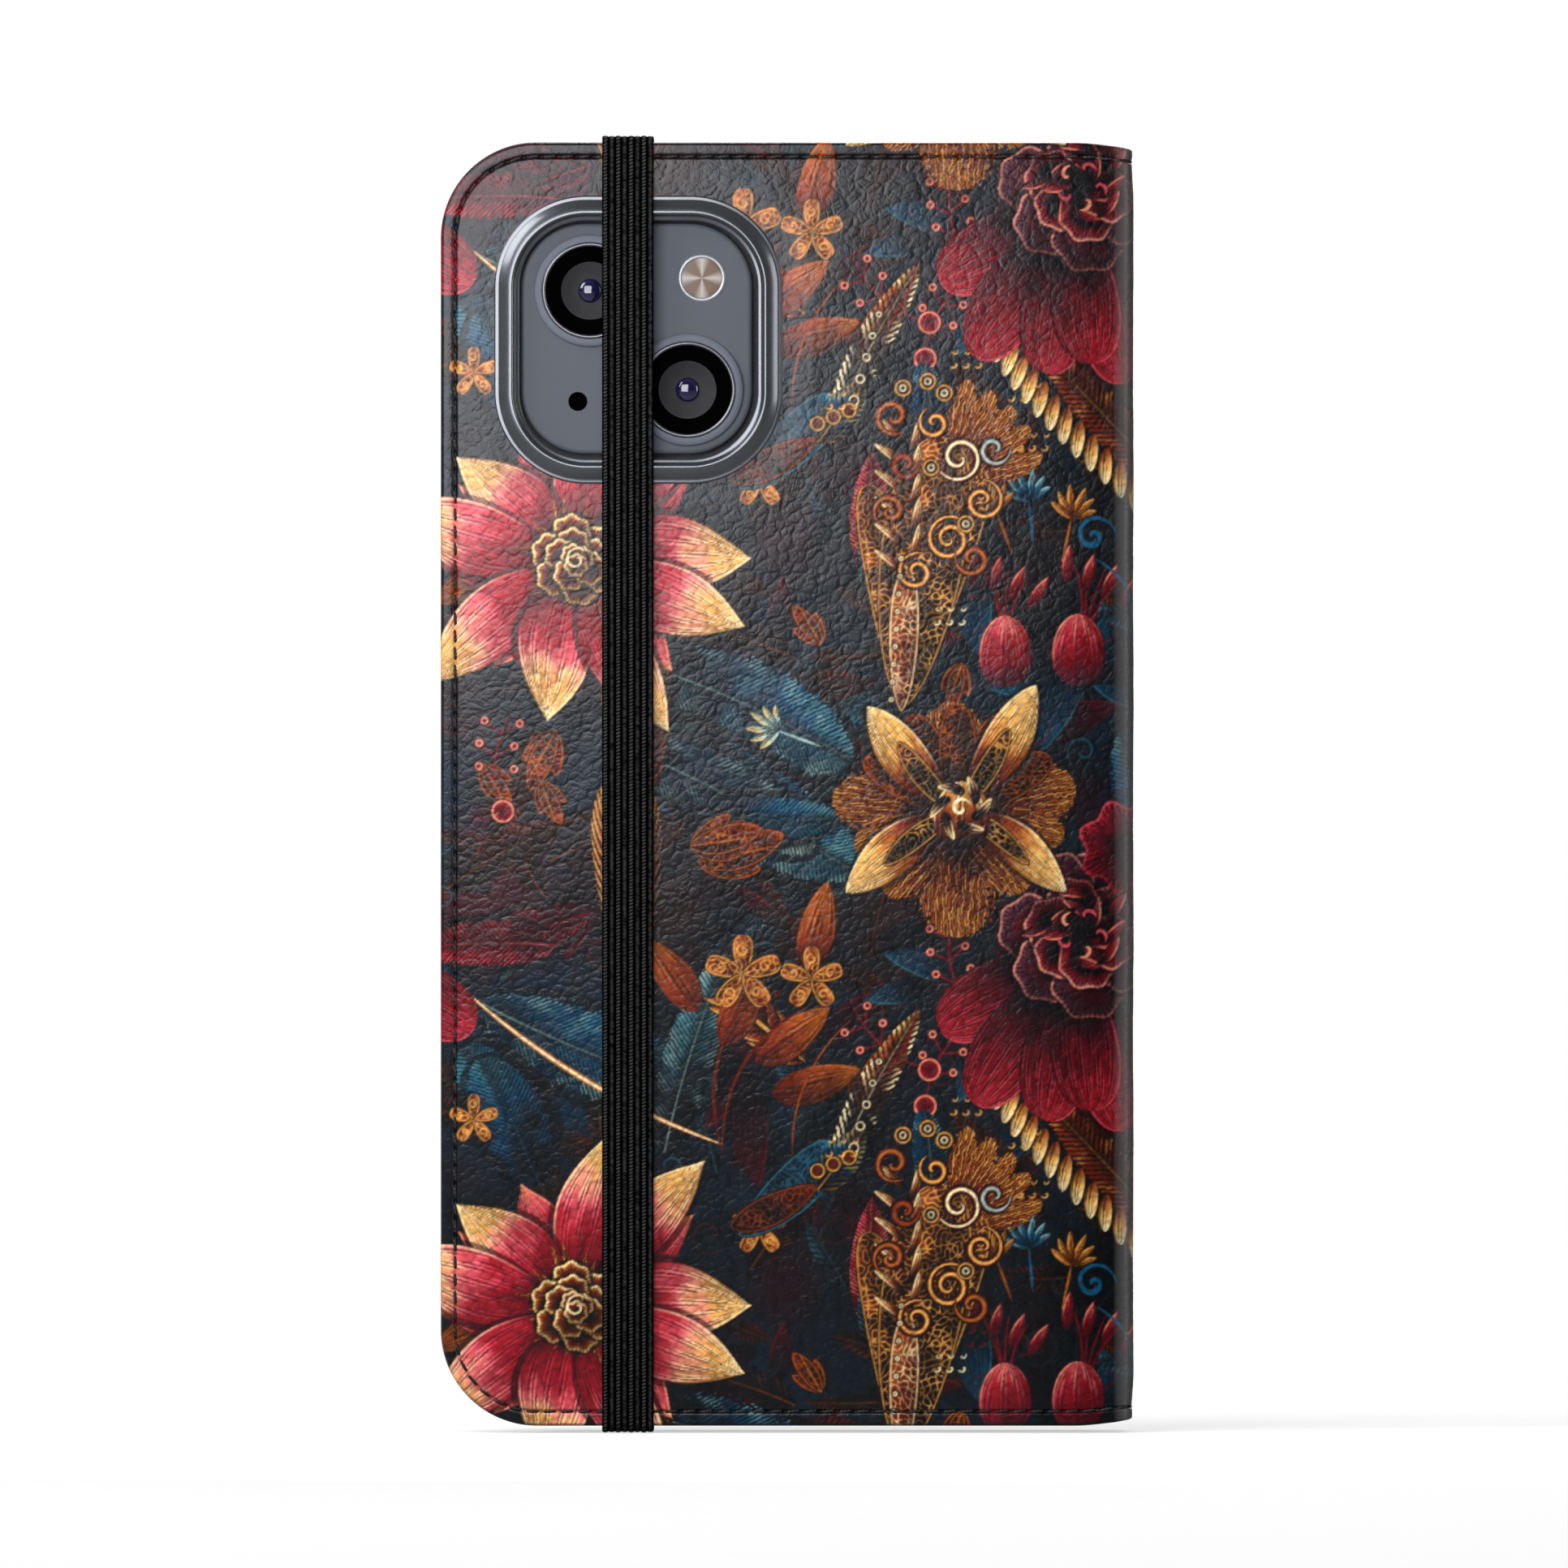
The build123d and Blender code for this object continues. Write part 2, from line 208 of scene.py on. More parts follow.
# ------------------------------------------------------------------------------------ materials
class Nodes:
    """A short way to write nodes. A value may be a number, a colour or another node's socket."""

    def __init__(self, owner):
        """owner is a new material's name, or a world."""
        if isinstance(owner, str):
            owner = bpy.data.materials.new(owner)
        self.owner = owner
        owner.use_nodes = True
        self.tree = owner.node_tree
        self.surface = self.tree.nodes.get("Principled BSDF")

    def add(self, kind, inputs=None, output=0, **settings):
        """Adds a node and returns one of its outputs."""
        node = self.tree.nodes.new("ShaderNode" + kind)
        for key, value in settings.items():
            setattr(node, key, value)
        self.fill(node, inputs or {})
        return node.outputs[output]

    def fill(self, node, inputs):
        """Sets or links a node's inputs."""
        for key, value in inputs.items():
            if isinstance(value, bpy.types.NodeSocket):
                self.tree.links.new(value, node.inputs[key])
            else:
                node.inputs[key].default_value = value

    def finish(self, **inputs):
        """Sets the surface's inputs, whose names are written with _ for a space."""
        self.fill(self.surface, {key.replace("_", " "): value for key, value in inputs.items()})
        return self.owner

    def place(self, attribute=None):
        """Where on the piece a point is: a stored attribute, or the object's own coordinates."""
        if attribute:
            return self.add("Attribute", attribute_name=attribute, output=1)
        return self.add("TexCoord", output=3)

    def split(self, vector):
        """A vector's three numbers."""
        node = self.tree.nodes.new("ShaderNodeSeparateXYZ")
        self.fill(node, {0: vector})
        return node.outputs

    def maths(self, operation, a, b=0.0):
        """One sum on two values."""
        return self.add("Math", {0: a, 1: b}, operation=operation)

    def vector(self, operation, a, b=None, output=0, **inputs):
        """One sum on vectors."""
        both = {0: a} if b is None else {0: a, 1: b}
        return self.add("VectorMath", both | inputs, output, operation=operation)

    def blend(self, share, a, b):
        """Colour a turned towards b."""
        return self.add("Mix", {0: share, 6: a, 7: b}, output=2, data_type="RGBA")

    def levels(self, value, low, high, out_low=0.0, out_high=1.0):
        """A value from low to high, spread over a new range."""
        spread = {"Value": value, "From Min": low, "From Max": high, "To Min": out_low, "To Max": out_high}
        return self.add("MapRange", spread)

    def noise(self, place, scale, detail=4.0, rough=0.55, distortion=0.0):
        """Noise with features about 1/scale metres across."""
        inputs = {"Vector": place, "Scale": scale, "Detail": detail, "Roughness": rough}
        return self.add("TexNoise", inputs | {"Distortion": distortion})

    def bump(self, height, strength, distance, under=None):
        """A bump of this height, in metres, over another one."""
        inputs = {"Height": height, "Strength": strength, "Distance": distance}
        return self.add("Bump", inputs if under is None else inputs | {"Normal": under})


def display(text):
    """A colour as display red, green and blue, from its hex code."""
    return np.array([int(text[i : i + 2], 16) / 255 for i in (1, 3, 5)])


def linear(colour):
    """Display values as linear ones."""
    return np.where(colour > 0.04045, ((colour + 0.055) / 1.055) ** 2.4, colour / 12.92)


def srgb(text):
    """A material colour from its display hex code."""
    return tuple(linear(display(text))) + (1.0,)


NEAR_BLACK = (0.001, 0.001, 0.001, 1)
PEBBLE_CELL, PEBBLE_BUMP, WRINKLE_BUMP = 0.0012, 0.000013, 0.00002
POCKET_CELL, POCKET_BUMP = 0.0011, 0.00007


def pebble_grain(n, place, cell, depth):
    """Creased leather pebbles: uneven cells at two sizes, parted by soft creases. Gives creases and bump."""
    bend = n.add("TexNoise", {"Vector": place, "Scale": 0.45 / cell, "Detail": 3.0}, output=1)
    shift = n.vector("SCALE", n.vector("SUBTRACT", bend, (0.5, 0.5, 0.5)), Scale=cell * 1.5)
    moved = {"Vector": n.vector("ADD", place, shift)}
    coarse, fine = (
        n.add("TexVoronoi", moved | {"Scale": size / cell}, feature="DISTANCE_TO_EDGE") for size in (1, 2.3)
    )
    hide = n.levels(n.noise(place, 0.35 / cell, 2.0), 0.42, 0.6)
    fine_crease = n.maths("MAXIMUM", n.levels(fine, 0.0, 0.22), hide)
    both = n.maths("MULTIPLY", n.levels(coarse, 0.0, 0.16), n.levels(fine_crease, 0, 1, 0.45, 1.0))
    pore = n.noise(place, 3.5 / cell, 3.0)
    return both, n.bump(n.maths("ADD", both, n.maths("MULTIPLY", pore, 0.25)), 1.0, depth)


def leather_material(middle, fold):
    """Printed leather: the print under a satin finish, with fine grain between its modelled creases. It is
    duller towards the folds, with painted shade that darkens it there, and a painted pale sheen on the
    bends. middle and fold are distances along the sheet."""
    n = Nodes("printed_leather")
    place = n.place("flat")
    from_middle = n.maths("ABSOLUTE", n.maths("SUBTRACT", n.split(place)[0], middle * MM))
    past_fold = n.maths("SUBTRACT", from_middle, (middle - fold) * MM)
    glossy = n.levels(past_fold, 0.002, 0.014)
    painted_bend_sheen = n.levels(n.maths("ABSOLUTE", n.maths("ADD", past_fold, 0.0013)), 0.0, 0.0016, 0.34, 0.0)
    ink = n.add("Attribute", attribute_name="print", output=0)
    # Painted shade: the print is turned partly towards near black close to the folds and over the spine.
    ink = n.blend(n.levels(glossy, 0, 1, 0.3, 0.0), ink, NEAR_BLACK)
    # Painted sheen: a pale grey band painted along the middle of each bend.
    ink = n.blend(painted_bend_sheen, ink, srgb("#8c8b8a"))
    ink = n.blend(n.levels(n.noise(place, 90.0, 5.0), 0.4, 0.8, 0.0, 0.012), ink, srgb("#77777c"))
    pore = n.maths("MULTIPLY", n.noise(place, 4200.0, 2.0), 0.3)
    wrinkle = n.maths("ADD", n.noise(place, 1300.0, 5.0, 0.6, 0.5), pore)
    grain = pebble_grain(n, place, PEBBLE_CELL, PEBBLE_BUMP)[1]
    return n.finish(
        Base_Color=ink, Roughness=n.levels(n.noise(place, 700.0, 3.0), 0.3, 0.7, 0.26, 0.34),
        Normal=n.bump(wrinkle, 0.45, WRINKLE_BUMP, grain),
        Specular_IOR_Level=n.levels(glossy, 0, 1, 0.10, 0.27),
    )


def plain_leather_material(name, colour):
    """Dyed leather with a fine grain and painted shade in its creases, for the pockets and the inner side of
    the folds.
    """
    n = Nodes(name)
    place = n.place("flat")
    creases, bump = pebble_grain(n, place, POCKET_CELL, POCKET_BUMP)
    # Painted shade: the colour turns halfway to black in the grain's creases.
    tone = n.blend(n.levels(creases, 0, 1, 0.5, 0.0), srgb(colour), (0.003, 0.003, 0.003, 1))
    tone = n.blend(n.levels(n.noise(place, 60.0), 0.3, 0.8, 0.0, 0.12), tone, srgb("#4a4a4e"))
    return n.finish(Base_Color=tone, Roughness=0.5, Normal=bump, Specular_IOR_Level=0.45)


def suede_material():
    """Brushed microfibre: short nap in soft patches, without gloss."""
    n = Nodes("lining")
    place = n.place("flat")
    nap = n.noise(place, 2600.0, 3.0, 0.7)
    patch = n.noise(place, 45.0, 4.0, 0.6, 0.4)
    tone = n.blend(n.levels(patch, 0.3, 0.7), srgb("#26262a"), srgb("#34343a"))
    tone = n.blend(n.levels(nap, 0.35, 0.7, 0.0, 0.35), tone, srgb("#55555d"))
    return n.finish(
        Base_Color=tone, Roughness=0.95, Normal=n.bump(nap, 0.6, 0.00005), Specular_IOR_Level=0.15,
        Sheen_Weight=0.35, Sheen_Roughness=0.6,
    )


def thread_material():
    """Twisted polyester thread, nearly black."""
    n = Nodes("thread")
    spread = {"Vector": n.place(), "Scale": 1400.0, "Distortion": 1.0}
    twist = n.add("TexWave", spread, output=1, bands_direction="DIAGONAL")
    tone = n.blend(n.levels(twist, 0.2, 0.8), srgb("#070607"), srgb("#1e1a1b"))
    bump = n.bump(twist, 0.8, 0.00005)
    return n.finish(Base_Color=tone, Roughness=0.55, Normal=bump, Specular_IOR_Level=0.35)


def moulded_material(name, low, high, rough, depth=0.00001):
    """Moulded rubber or plastic: even, with a fine spark-eroded texture."""
    n = Nodes(name)
    speck = n.noise(n.place(), 3500.0, 3.0, 0.6)
    tone = n.blend(n.noise(n.place(), 40.0, 3.0), srgb(low), srgb(high))
    surface = n.levels(speck, 0.3, 0.7, rough - 0.05, rough + 0.07)
    return n.finish(Base_Color=tone, Roughness=surface, Normal=n.bump(speck, 0.5, depth))


def bezel_material():
    """Smoky glossy plastic, slightly cloudy."""
    n = Nodes("bezel")
    tone = n.blend(n.noise(n.place(), 120.0), srgb("#46494d"), srgb("#54575b"))
    rough = n.levels(n.noise(n.place(), 5200.0, 2.0), 0.3, 0.7, 0.27, 0.33)
    return n.finish(
        Base_Color=tone, Roughness=rough, Metallic=0.8, Specular_IOR_Level=0.4, Coat_Weight=0.5,
        Coat_Roughness=0.13, Coat_IOR=1.5,
    )


def elastic_material():
    """Knitted elastic: fuzzy black yarn with a painted highlight on the tips of its twisted cords and
    painted shade in its grooves.
    """
    n = Nodes("elastic")
    place = n.place("flat")
    fuzz = n.noise(place, 5200.0, 4.0, 0.75)
    # The flat attribute's third number is the strap's painted light share: painted highlight on crests,
    # painted shade in grooves.
    lift = n.maths("ADD", n.split(place)[2], n.maths("MULTIPLY", n.maths("SUBTRACT", fuzz, 0.5), 0.8))
    shown = n.levels(lift, 0.15, 1.0)
    return n.finish(
        Base_Color=n.blend(shown, srgb("#020202"), srgb("#2d2e2e")), Roughness=0.5,
        Normal=n.bump(fuzz, 0.8, 0.00008), Specular_IOR_Level=n.maths("MULTIPLY", shown, 0.6),
    )


def board_material():
    """Pressed dark board, speckled with fibres."""
    n = Nodes("stiffener")
    fibre = n.noise(n.place(), 900.0, 6.0, 0.7, 0.6)
    tone = n.blend(fibre, srgb("#36353a"), srgb("#4b494c"))
    return n.finish(Base_Color=tone, Roughness=0.9, Normal=n.bump(fibre, 0.5, 0.00003))


# ------------------------------------------------------------------------------------ the print
INK = {
    "night": "#151c22", "slate": "#323d45", "storm": "#16303f", "sea": "#286079", "teal": "#4a7c84",
    "ice": "#9db8b0", "cream": "#f4e2b2", "gold": "#dfa854", "amber": "#a9682c", "copper": "#8d4c28",
    "rust": "#5f2a1c", "bark": "#2f1b16", "wine": "#4a1822", "plum": "#4d2a36", "mauve": "#84545f",
    "crimson": "#9c2c3a", "rose": "#cf5560", "blush": "#ee9c7c", "ember": "#6e1f2a", "black": "#07090c",
}
PRINT_SEED = 11


def ink(name):
    """A palette colour, as display red, green and blue."""
    return display(INK[name])


def mix(a, b, share):
    """a turned towards b by a share, point by point."""
    return a + (b - a) * np.asarray(share)[..., None]


def ramp(t, stops):
    """A colour along evenly spaced stops, which are palette names, for t from 0 to 1."""
    colours = np.array([ink(name) for name in stops.split()])
    where = np.linspace(0, 1, len(colours))
    return np.stack([np.interp(t, where, colours[:, i]) for i in range(3)], axis=-1)


def bell(value, middle, width):
    """1 where a value is at the middle, and nearly 0 two widths away."""
    return np.exp(-(((value - middle) / width) ** 2))


def lines(phase, thickness):
    """Thin lines where phase passes a whole number."""
    return 1 - smooth(thickness * 0.5, thickness, np.abs(phase - np.round(phase)))


def polar(at, gap, angle):
    """The place at a distance and an angle, in radians, from another place."""
    return np.array([at[0] + gap * math.cos(angle), at[1] + gap * math.sin(angle)])


class Samples:
    """What a paint may use: the random fields and the named measures of the samples that it colours."""

    def __init__(self, art, index, **measures):
        self.soft, self.grain, self.maze = art.soft[index], art.grain[index], art.maze[index]
        self.__dict__.update(measures)


class Print:
    """A repeating print on a grid of samples. Sizes are in millimetres, and paint goes on back to front."""

    def __init__(self, width, height, density):
        self.density = density
        self.rows, self.columns = round(height * density), round(width * density)
        self.width, self.height = width, height
        self.rng = np.random.default_rng(PRINT_SEED)
        self.colour = np.zeros((self.rows, self.columns, 3))
        self.maze = self.noise(1.15, 0.22)
        self.grain = self.noise(0.9, 0.6)
        self.soft = self.noise(5.0, 0.6)
        self.cloud = self.noise(22.0, 0.8)

    def noise(self, wavelength, spread):
        """A repeating random field, mostly from -1 to 1, whose features are this far apart."""
        across = np.fft.rfftfreq(self.columns, 1 / self.density)
        up = np.fft.fftfreq(self.rows, 1 / self.density)[:, None]
        band = bell(np.hypot(up, across) * wavelength, 1, spread)
        spectrum = np.fft.rfft2(self.rng.standard_normal((self.rows, self.columns))) * band
        field = np.fft.irfft2(spectrum, (self.rows, self.columns))
        return field / (2 * field.std())

    def window(self, low, high):
        """The samples in a box, as an index that wraps round the repeat, with their places."""
        columns = np.arange(math.floor(low[0] * self.density), math.ceil(high[0] * self.density) + 1)
        rows = np.arange(math.floor(low[1] * self.density), math.ceil(high[1] * self.density) + 1)
        index = np.ix_(rows % self.rows, columns % self.columns)
        return index, (columns + 0.5) / self.density, (rows[:, None] + 0.5) / self.density

    def around(self, at, reach):
        """The samples in a square about a place."""
        return self.window([a - reach for a in at], [a + reach for a in at])

    def lay(self, index, colour, cover):
        """Paints colour over the samples, as much as cover says."""
        self.colour[index] = mix(self.colour[index], colour, cover)

    def leaf(self, at, turn, length, width, paint, bend=0.0, peak=0.42, point=1.4, ragged=0.0, strength=1.0,
             shadow=None):
        """A leaf, petal or feather from its stem at a place, turned anticlockwise from +u in degrees. peak
        is where along it is widest, and point how sharp it is. shadow is the size and strength of a black
        one under it. Its paint is given t and side, the shares along and across it, and the distances
        along, across and from its edge."""
        if shadow:
            longer, wider, dark = shadow
            self.leaf(at, turn, length * longer, width * wider, black, bend, peak, point, strength=dark)
        angle = math.radians(turn)
        c, s = math.cos(angle), math.sin(angle)
        reach = length / 2 + width / 2 + abs(bend) * length
        index, u, v = self.around((at[0] + c * length / 2, at[1] + s * length / 2), reach)
        along = (u - at[0]) * c + (v - at[1]) * s
        t = along / length
        across = (v - at[1]) * c - (u - at[0]) * s - bend * length * t * t
        inside = np.clip(t, 1e-4, 1 - 1e-4)
        outline = (inside / peak) ** (point * peak) * ((1 - inside) / (1 - peak)) ** (point * (1 - peak))
        half = width / 2 * outline
        if ragged:
            half = half * (1 - ragged * (0.5 + 0.5 * self.grain[index]))
        edge = half - np.abs(across)
        cover = np.clip(edge * self.density + 0.5, 0, 1) * (t > 0) * (t < 1) * strength
        side = np.clip(across / np.maximum(half, 1e-3), -1, 1)
        samples = Samples(self, index, t=inside, side=side, along=along, across=across, edge=edge)
        self.lay(index, paint(samples), cover)

    def stroke(self, points, width, name, strength=1.0):
        """A pen line through points, as wide as width and thinner towards its ends."""
        points = np.asarray(points, float)
        reach = width + 0.3
        index, u, v = self.window(points.min(0) - reach, points.max(0) + reach)
        nearest = np.full((v.shape[0], len(u)), 1e9)
        share = np.linspace(0, 1, len(points))
        for i, (a, b) in enumerate(zip(points[:-1], points[1:])):
            span = b - a
            along = np.clip(((u - a[0]) * span[0] + (v - a[1]) * span[1]) / max(span @ span, 1e-9), 0, 1)
            gap = np.hypot(u - a[0] - along * span[0], v - a[1] - along * span[1])
            where = share[i] + along / (len(points) - 1)
            size = width / 2 * np.sqrt(np.maximum(np.sin(np.pi * where), 0.02))
            nearest = np.minimum(nearest, gap - size)
        self.lay(index, ink(name), np.clip(0.5 - nearest * self.density, 0, 1) * strength)

    def disc(self, at, radius, paint, strength=1.0, wavy=0.0):
        """A round petal or bead with a wavy rim. Its paint is given the share out, angle and distance in."""
        index, u, v = self.around(at, radius * (1 + wavy) + 0.3)
        du, dv = u - at[0], v - at[1]
        angle = np.arctan2(dv, du)
        rim = radius * (1 + wavy * np.sin(7 * angle + at[0]))
        gap = np.hypot(du, dv)
        cover = np.clip((rim - gap) * self.density + 0.5, 0, 1) * strength
        samples = Samples(self, index, out=np.clip(gap / rim, 0, 1), angle=angle, edge=rim - gap)
        self.lay(index, paint(samples), cover)

    def shade(self, at, radius, name, strength):
        """A wide soft patch of colour."""
        index, u, v = self.around(at, radius)
        gap = np.hypot(u - at[0], v - at[1]) / radius
        self.lay(index, ink(name), strength * smooth(1.0, 0.1, gap + 0.15 * self.soft[index]))


def spiral(at, radius, turns, turn, hand=1, points=26):
    """Points along a scroll that winds in to a place."""
    t = np.linspace(0, 1, points)
    angle = math.radians(turn) + hand * 2 * math.pi * turns * t
    r = radius * (1 - t) ** 0.8 + radius * 0.08
    return np.stack([at[0] + r * np.cos(angle), at[1] + r * np.sin(angle)], axis=1)


def arc(a, b, bow, points=14):
    """Points along a curve from a to b that bows sideways by a share of its length."""
    a, b = np.asarray(a, float), np.asarray(b, float)
    t = np.linspace(0, 1, points)[:, None]
    side = np.array([-(b - a)[1], (b - a)[0]])
    return a + (b - a) * t + side * bow * 4 * t * (1 - t)


# A paint gives the colour of a leaf's or a disc's samples. black is one, and the functions below make them.
def black(_):
    """The paint of a shadow."""
    return ink("black")


def petal_paint(stops, light, dark, veins, glow=0.6, hand=1):
    """An engraved petal: a ramp of colour, one half in shade, broken strokes along it and one bright rim."""

    def strokes(side, along, count, p):
        row = side * count + 0.10 * p.grain
        number = np.round(row)
        thick = 0.16 + 0.10 * np.sin(along / 2.6 * 2.1 + number * 2.4)
        broken = smooth(-0.5, 0.3, np.sin(along / 2.6 * 1.3 + number * 4.7) + 0.4 * p.soft)
        return (1 - smooth(thick, thick + 0.2, np.abs(row - number))) * broken

    def paint(p):
        colour = ramp(p.t + 0.05 * p.soft - 0.06 * p.side**2, stops)
        facing = p.side * hand
        lit = 0.78 + 0.26 * smooth(-0.9, 0.6, facing) - 0.22 * bell(facing, 0, 0.16) * (1 - p.t)
        colour = colour * lit[..., None]
        count = veins * (0.6 + 0.25 * p.t)
        colour = mix(colour, ink(dark), 0.55 * strokes(p.side + 0.5 / count, p.along + 1, count, p))
        bright = mix(colour * 1.35 + 0.05, ink(light), smooth(0.45, 0.85, p.t))
        shown = strokes(p.side, p.along, count, p) * glow * smooth(0.12, 0.62, p.t + 0.12 * p.soft)
        colour = mix(colour, np.clip(bright, 0, 1), shown)
        rim = bell(p.edge, 0.16, 0.13) * smooth(-0.2, 0.5, facing) * smooth(0.15, 0.6, p.t)
        colour = mix(colour, ink(light), 0.85 * rim)
        return mix(colour, ink("black"), 0.6 * bell(p.edge, 0, 0.14) * smooth(0.4, -0.4, facing))

    return paint


def feather_paint(stops, light, pitch=0.62, slant=0.9, glow=0.5):
    """A feather: barbs that run out and forward from its shaft, lighter towards their ends."""

    def paint(p):
        colour = ramp(p.t + 0.14 * p.soft, stops) * (0.62 + 0.45 * smooth(-1.0, 0.7, p.side))[..., None]
        phase = (p.along - np.abs(p.across) * slant) / pitch + 0.14 * p.grain
        fade = smooth(0.15, 1.0, np.abs(p.side) + 0.35 * p.soft)
        fade = fade * smooth(-0.6, 0.4, np.sin(p.along * 1.1 + 3 * p.soft))
        colour = mix(colour, ink(light), lines(phase, 0.30) * glow * fade)
        colour = mix(colour, ink("black"), lines(phase + 0.5, 0.34) * 0.6)
        colour = mix(colour, ink("black"), 0.55 * bell(p.across, 0, 0.6))
        return mix(colour, ink(light), 0.7 * bell(p.across, 0, 0.14) * (1 - 0.6 * p.t))

    return paint


def filigree_paint(ground, line, tone=0.9):
    """A leaf full of winding lines, like chased metal, with a bright rim."""

    def paint(p):
        colour = ramp(0.15 + 0.6 * p.t + 0.3 * p.soft, ground)
        colour = colour * (0.7 + 0.4 * smooth(-0.8, 0.8, p.side))[..., None]
        lit = smooth(0.25, 0.6, p.edge) * (0.55 + 0.45 * smooth(-0.4, 0.6, p.soft))
        thread = 1 - smooth(0.104, 0.286, np.abs(p.maze))
        colour = mix(colour, ink(line), thread * tone * lit)
        colour = mix(colour, ink("black"), 0.5 * smooth(0.55, 1.1, np.abs(p.maze)) * lit)
        colour = mix(colour, ink(line), 0.8 * bell(p.edge, 0.24, 0.13))
        return mix(colour, ink("black"), 0.8 * bell(p.edge, 0, 0.12))

    return paint


def hair_paint(stops, light, pitch=0.36):
    """A sepal of long fine hairs that fade into the dark at its tip."""

    def paint(p):
        colour = ramp(p.t + 0.12 * p.soft, stops)
        phase = p.across / pitch + 0.3 * p.grain + 0.5 * p.soft
        lit = smooth(0.05, 0.6, p.t + 0.3 * p.grain)
        lit = lit * smooth(-0.5, 0.5, np.sin(p.along * 0.9 + np.round(phase) * 2.3))
        colour = mix(colour, ink(light), lines(phase, 0.3) * 0.7 * lit)
        return mix(colour, ink("black"), 0.6 * lines(phase + 0.5, 0.34))

    return paint


def ring_paint(inner, outer, rim):
    """A round petal: dark in the middle, light at the rim, with a thin outline."""

    def paint(p):
        colour = mix(ramp(p.out**1.6, f"{inner} {outer}"), ink(rim), 0.9 * bell(p.edge, 0.24, 0.15))
        return mix(colour, ink("black"), 0.9 * bell(p.edge, 0, 0.12))

    return paint


def shell_paint(stops, rim, count, hand=1):
    """A fan petal that opens from a dark throat, with fine ribs that darken its edge."""

    def paint(p):
        ribs = lines(p.angle * count + 0.3 * p.grain, 0.3)
        colour = ramp(p.out**1.3 + 0.08 * p.soft, stops)
        colour = mix(colour, ink("black"), 0.65 * ribs * smooth(0.35, 0.9, p.out + 0.15 * p.soft))
        lit = smooth(-0.3, 0.8, np.cos(p.angle - hand * 2.2))
        colour = colour * (0.72 + 0.38 * lit)[..., None]
        return mix(colour, ink(rim), (0.35 + 0.5 * lit) * bell(p.edge, 0.2, 0.16))

    return paint


def ground(art):
    """Night blue, warmed and cooled in wide patches, with faint veining."""
    colour = np.broadcast_to(ink("night"), art.colour.shape)
    colour = mix(colour, ink("wine") * 0.62, 0.55 * smooth(0.1, 1.1, art.cloud))
    colour = mix(colour, ink("storm") * 0.85, 0.5 * smooth(0.1, 1.1, -art.cloud))
    thread = 1 - smooth(0.05, 0.16, np.abs(art.soft + 0.25 * art.grain))
    art.colour = mix(colour, ink("slate"), 0.3 * thread)


def undergrowth(art):
    """Low leaves, feathers and curls that fill the ground between the flowers."""
    leaves, curls = 170, 70
    rng = art.rng
    kinds = [
        ("black storm sea", "teal"), ("black storm", "slate"), ("black rust", "copper"),
        ("black wine", "ember"), ("black slate teal", "teal"), ("black bark rust", "amber"),
    ]
    for i in range(leaves):
        stops, light = kinds[i % len(kinds)]
        at = rng.uniform((0, 0), (art.width, art.height))
        turn, length, bend = rng.uniform(0, 360), rng.uniform(7, 18), rng.uniform(-0.25, 0.25)
        if i % 3:
            paint = feather_paint(stops, light, rng.uniform(0.6, 0.9), rng.uniform(0.6, 1.2), 0.45)
            width = length * rng.uniform(0.25, 0.42)
            art.leaf(at, turn, length, width, paint, bend, ragged=0.3, strength=0.8)
        else:
            paint = petal_paint(stops, light, "black", 7, 0.4)
            art.leaf(at, turn, length * 0.8, length * 0.3, paint, bend, strength=0.8)
    for i in range(curls):
        at = rng.uniform((0, 0), (art.width, art.height))
        name = ("slate", "teal", "rust", "slate", "ember")[i % 5]
        radius, turns = rng.uniform(1.2, 3.2), rng.uniform(0.8, 1.6)
        curl = spiral(at, radius, turns, rng.uniform(0, 360), rng.choice([-1, 1]))
        art.stroke(curl, 0.28, name, 0.55)


def peony(art, at, radius):
    """The dark rose: dusky fan petals, crimson ones inside them, and a heart of curled bright edges."""
    rng = art.rng
    art.shade(at, radius * 1.4, "black", 0.65)
    outer = shell_paint("black wine plum mauve", "blush", 7.0)
    inner = shell_paint("black black ember mauve", "blush", 6.0, -1)
    for share, size, count, paint, start in [(0.62, 0.46, 7, outer, 0.3), (0.36, 0.36, 6, inner, 0.8)]:
        for i in range(count):
            angle = start + 2 * math.pi * i / count + rng.uniform(-0.12, 0.12)
            place = polar(at, radius * share, angle)
            art.disc(place, radius * size * 1.08, black, 0.5)
            art.disc(place, radius * size * rng.uniform(0.92, 1.08), paint, wavy=0.05)
    art.shade(at, radius * 0.55, "black", 0.9)
    for i in range(12):
        angle = 2.4 * i
        stops = "black ember crimson" if i % 3 else "black wine plum"
        fold = petal_paint(stops, "blush", "black", 3, 0.4, 1 if i % 2 else -1)
        turn = math.degrees(angle) + 75 + rng.uniform(-25, 25)
        foot = polar(at, radius * (0.08 + 0.036 * i), angle)
        art.leaf(foot, turn, radius * 0.42, radius * 0.15, fold, rng.uniform(-0.4, 0.4), 0.5, 1.2)
    for i in range(5):
        curl = spiral(polar(at, radius * 0.2, 1.3 + 1.2 * i), radius * 0.12, 0.45, 80 * i, points=10)
        art.stroke(curl, 0.42, ("rose", "blush")[i % 2], 0.9)


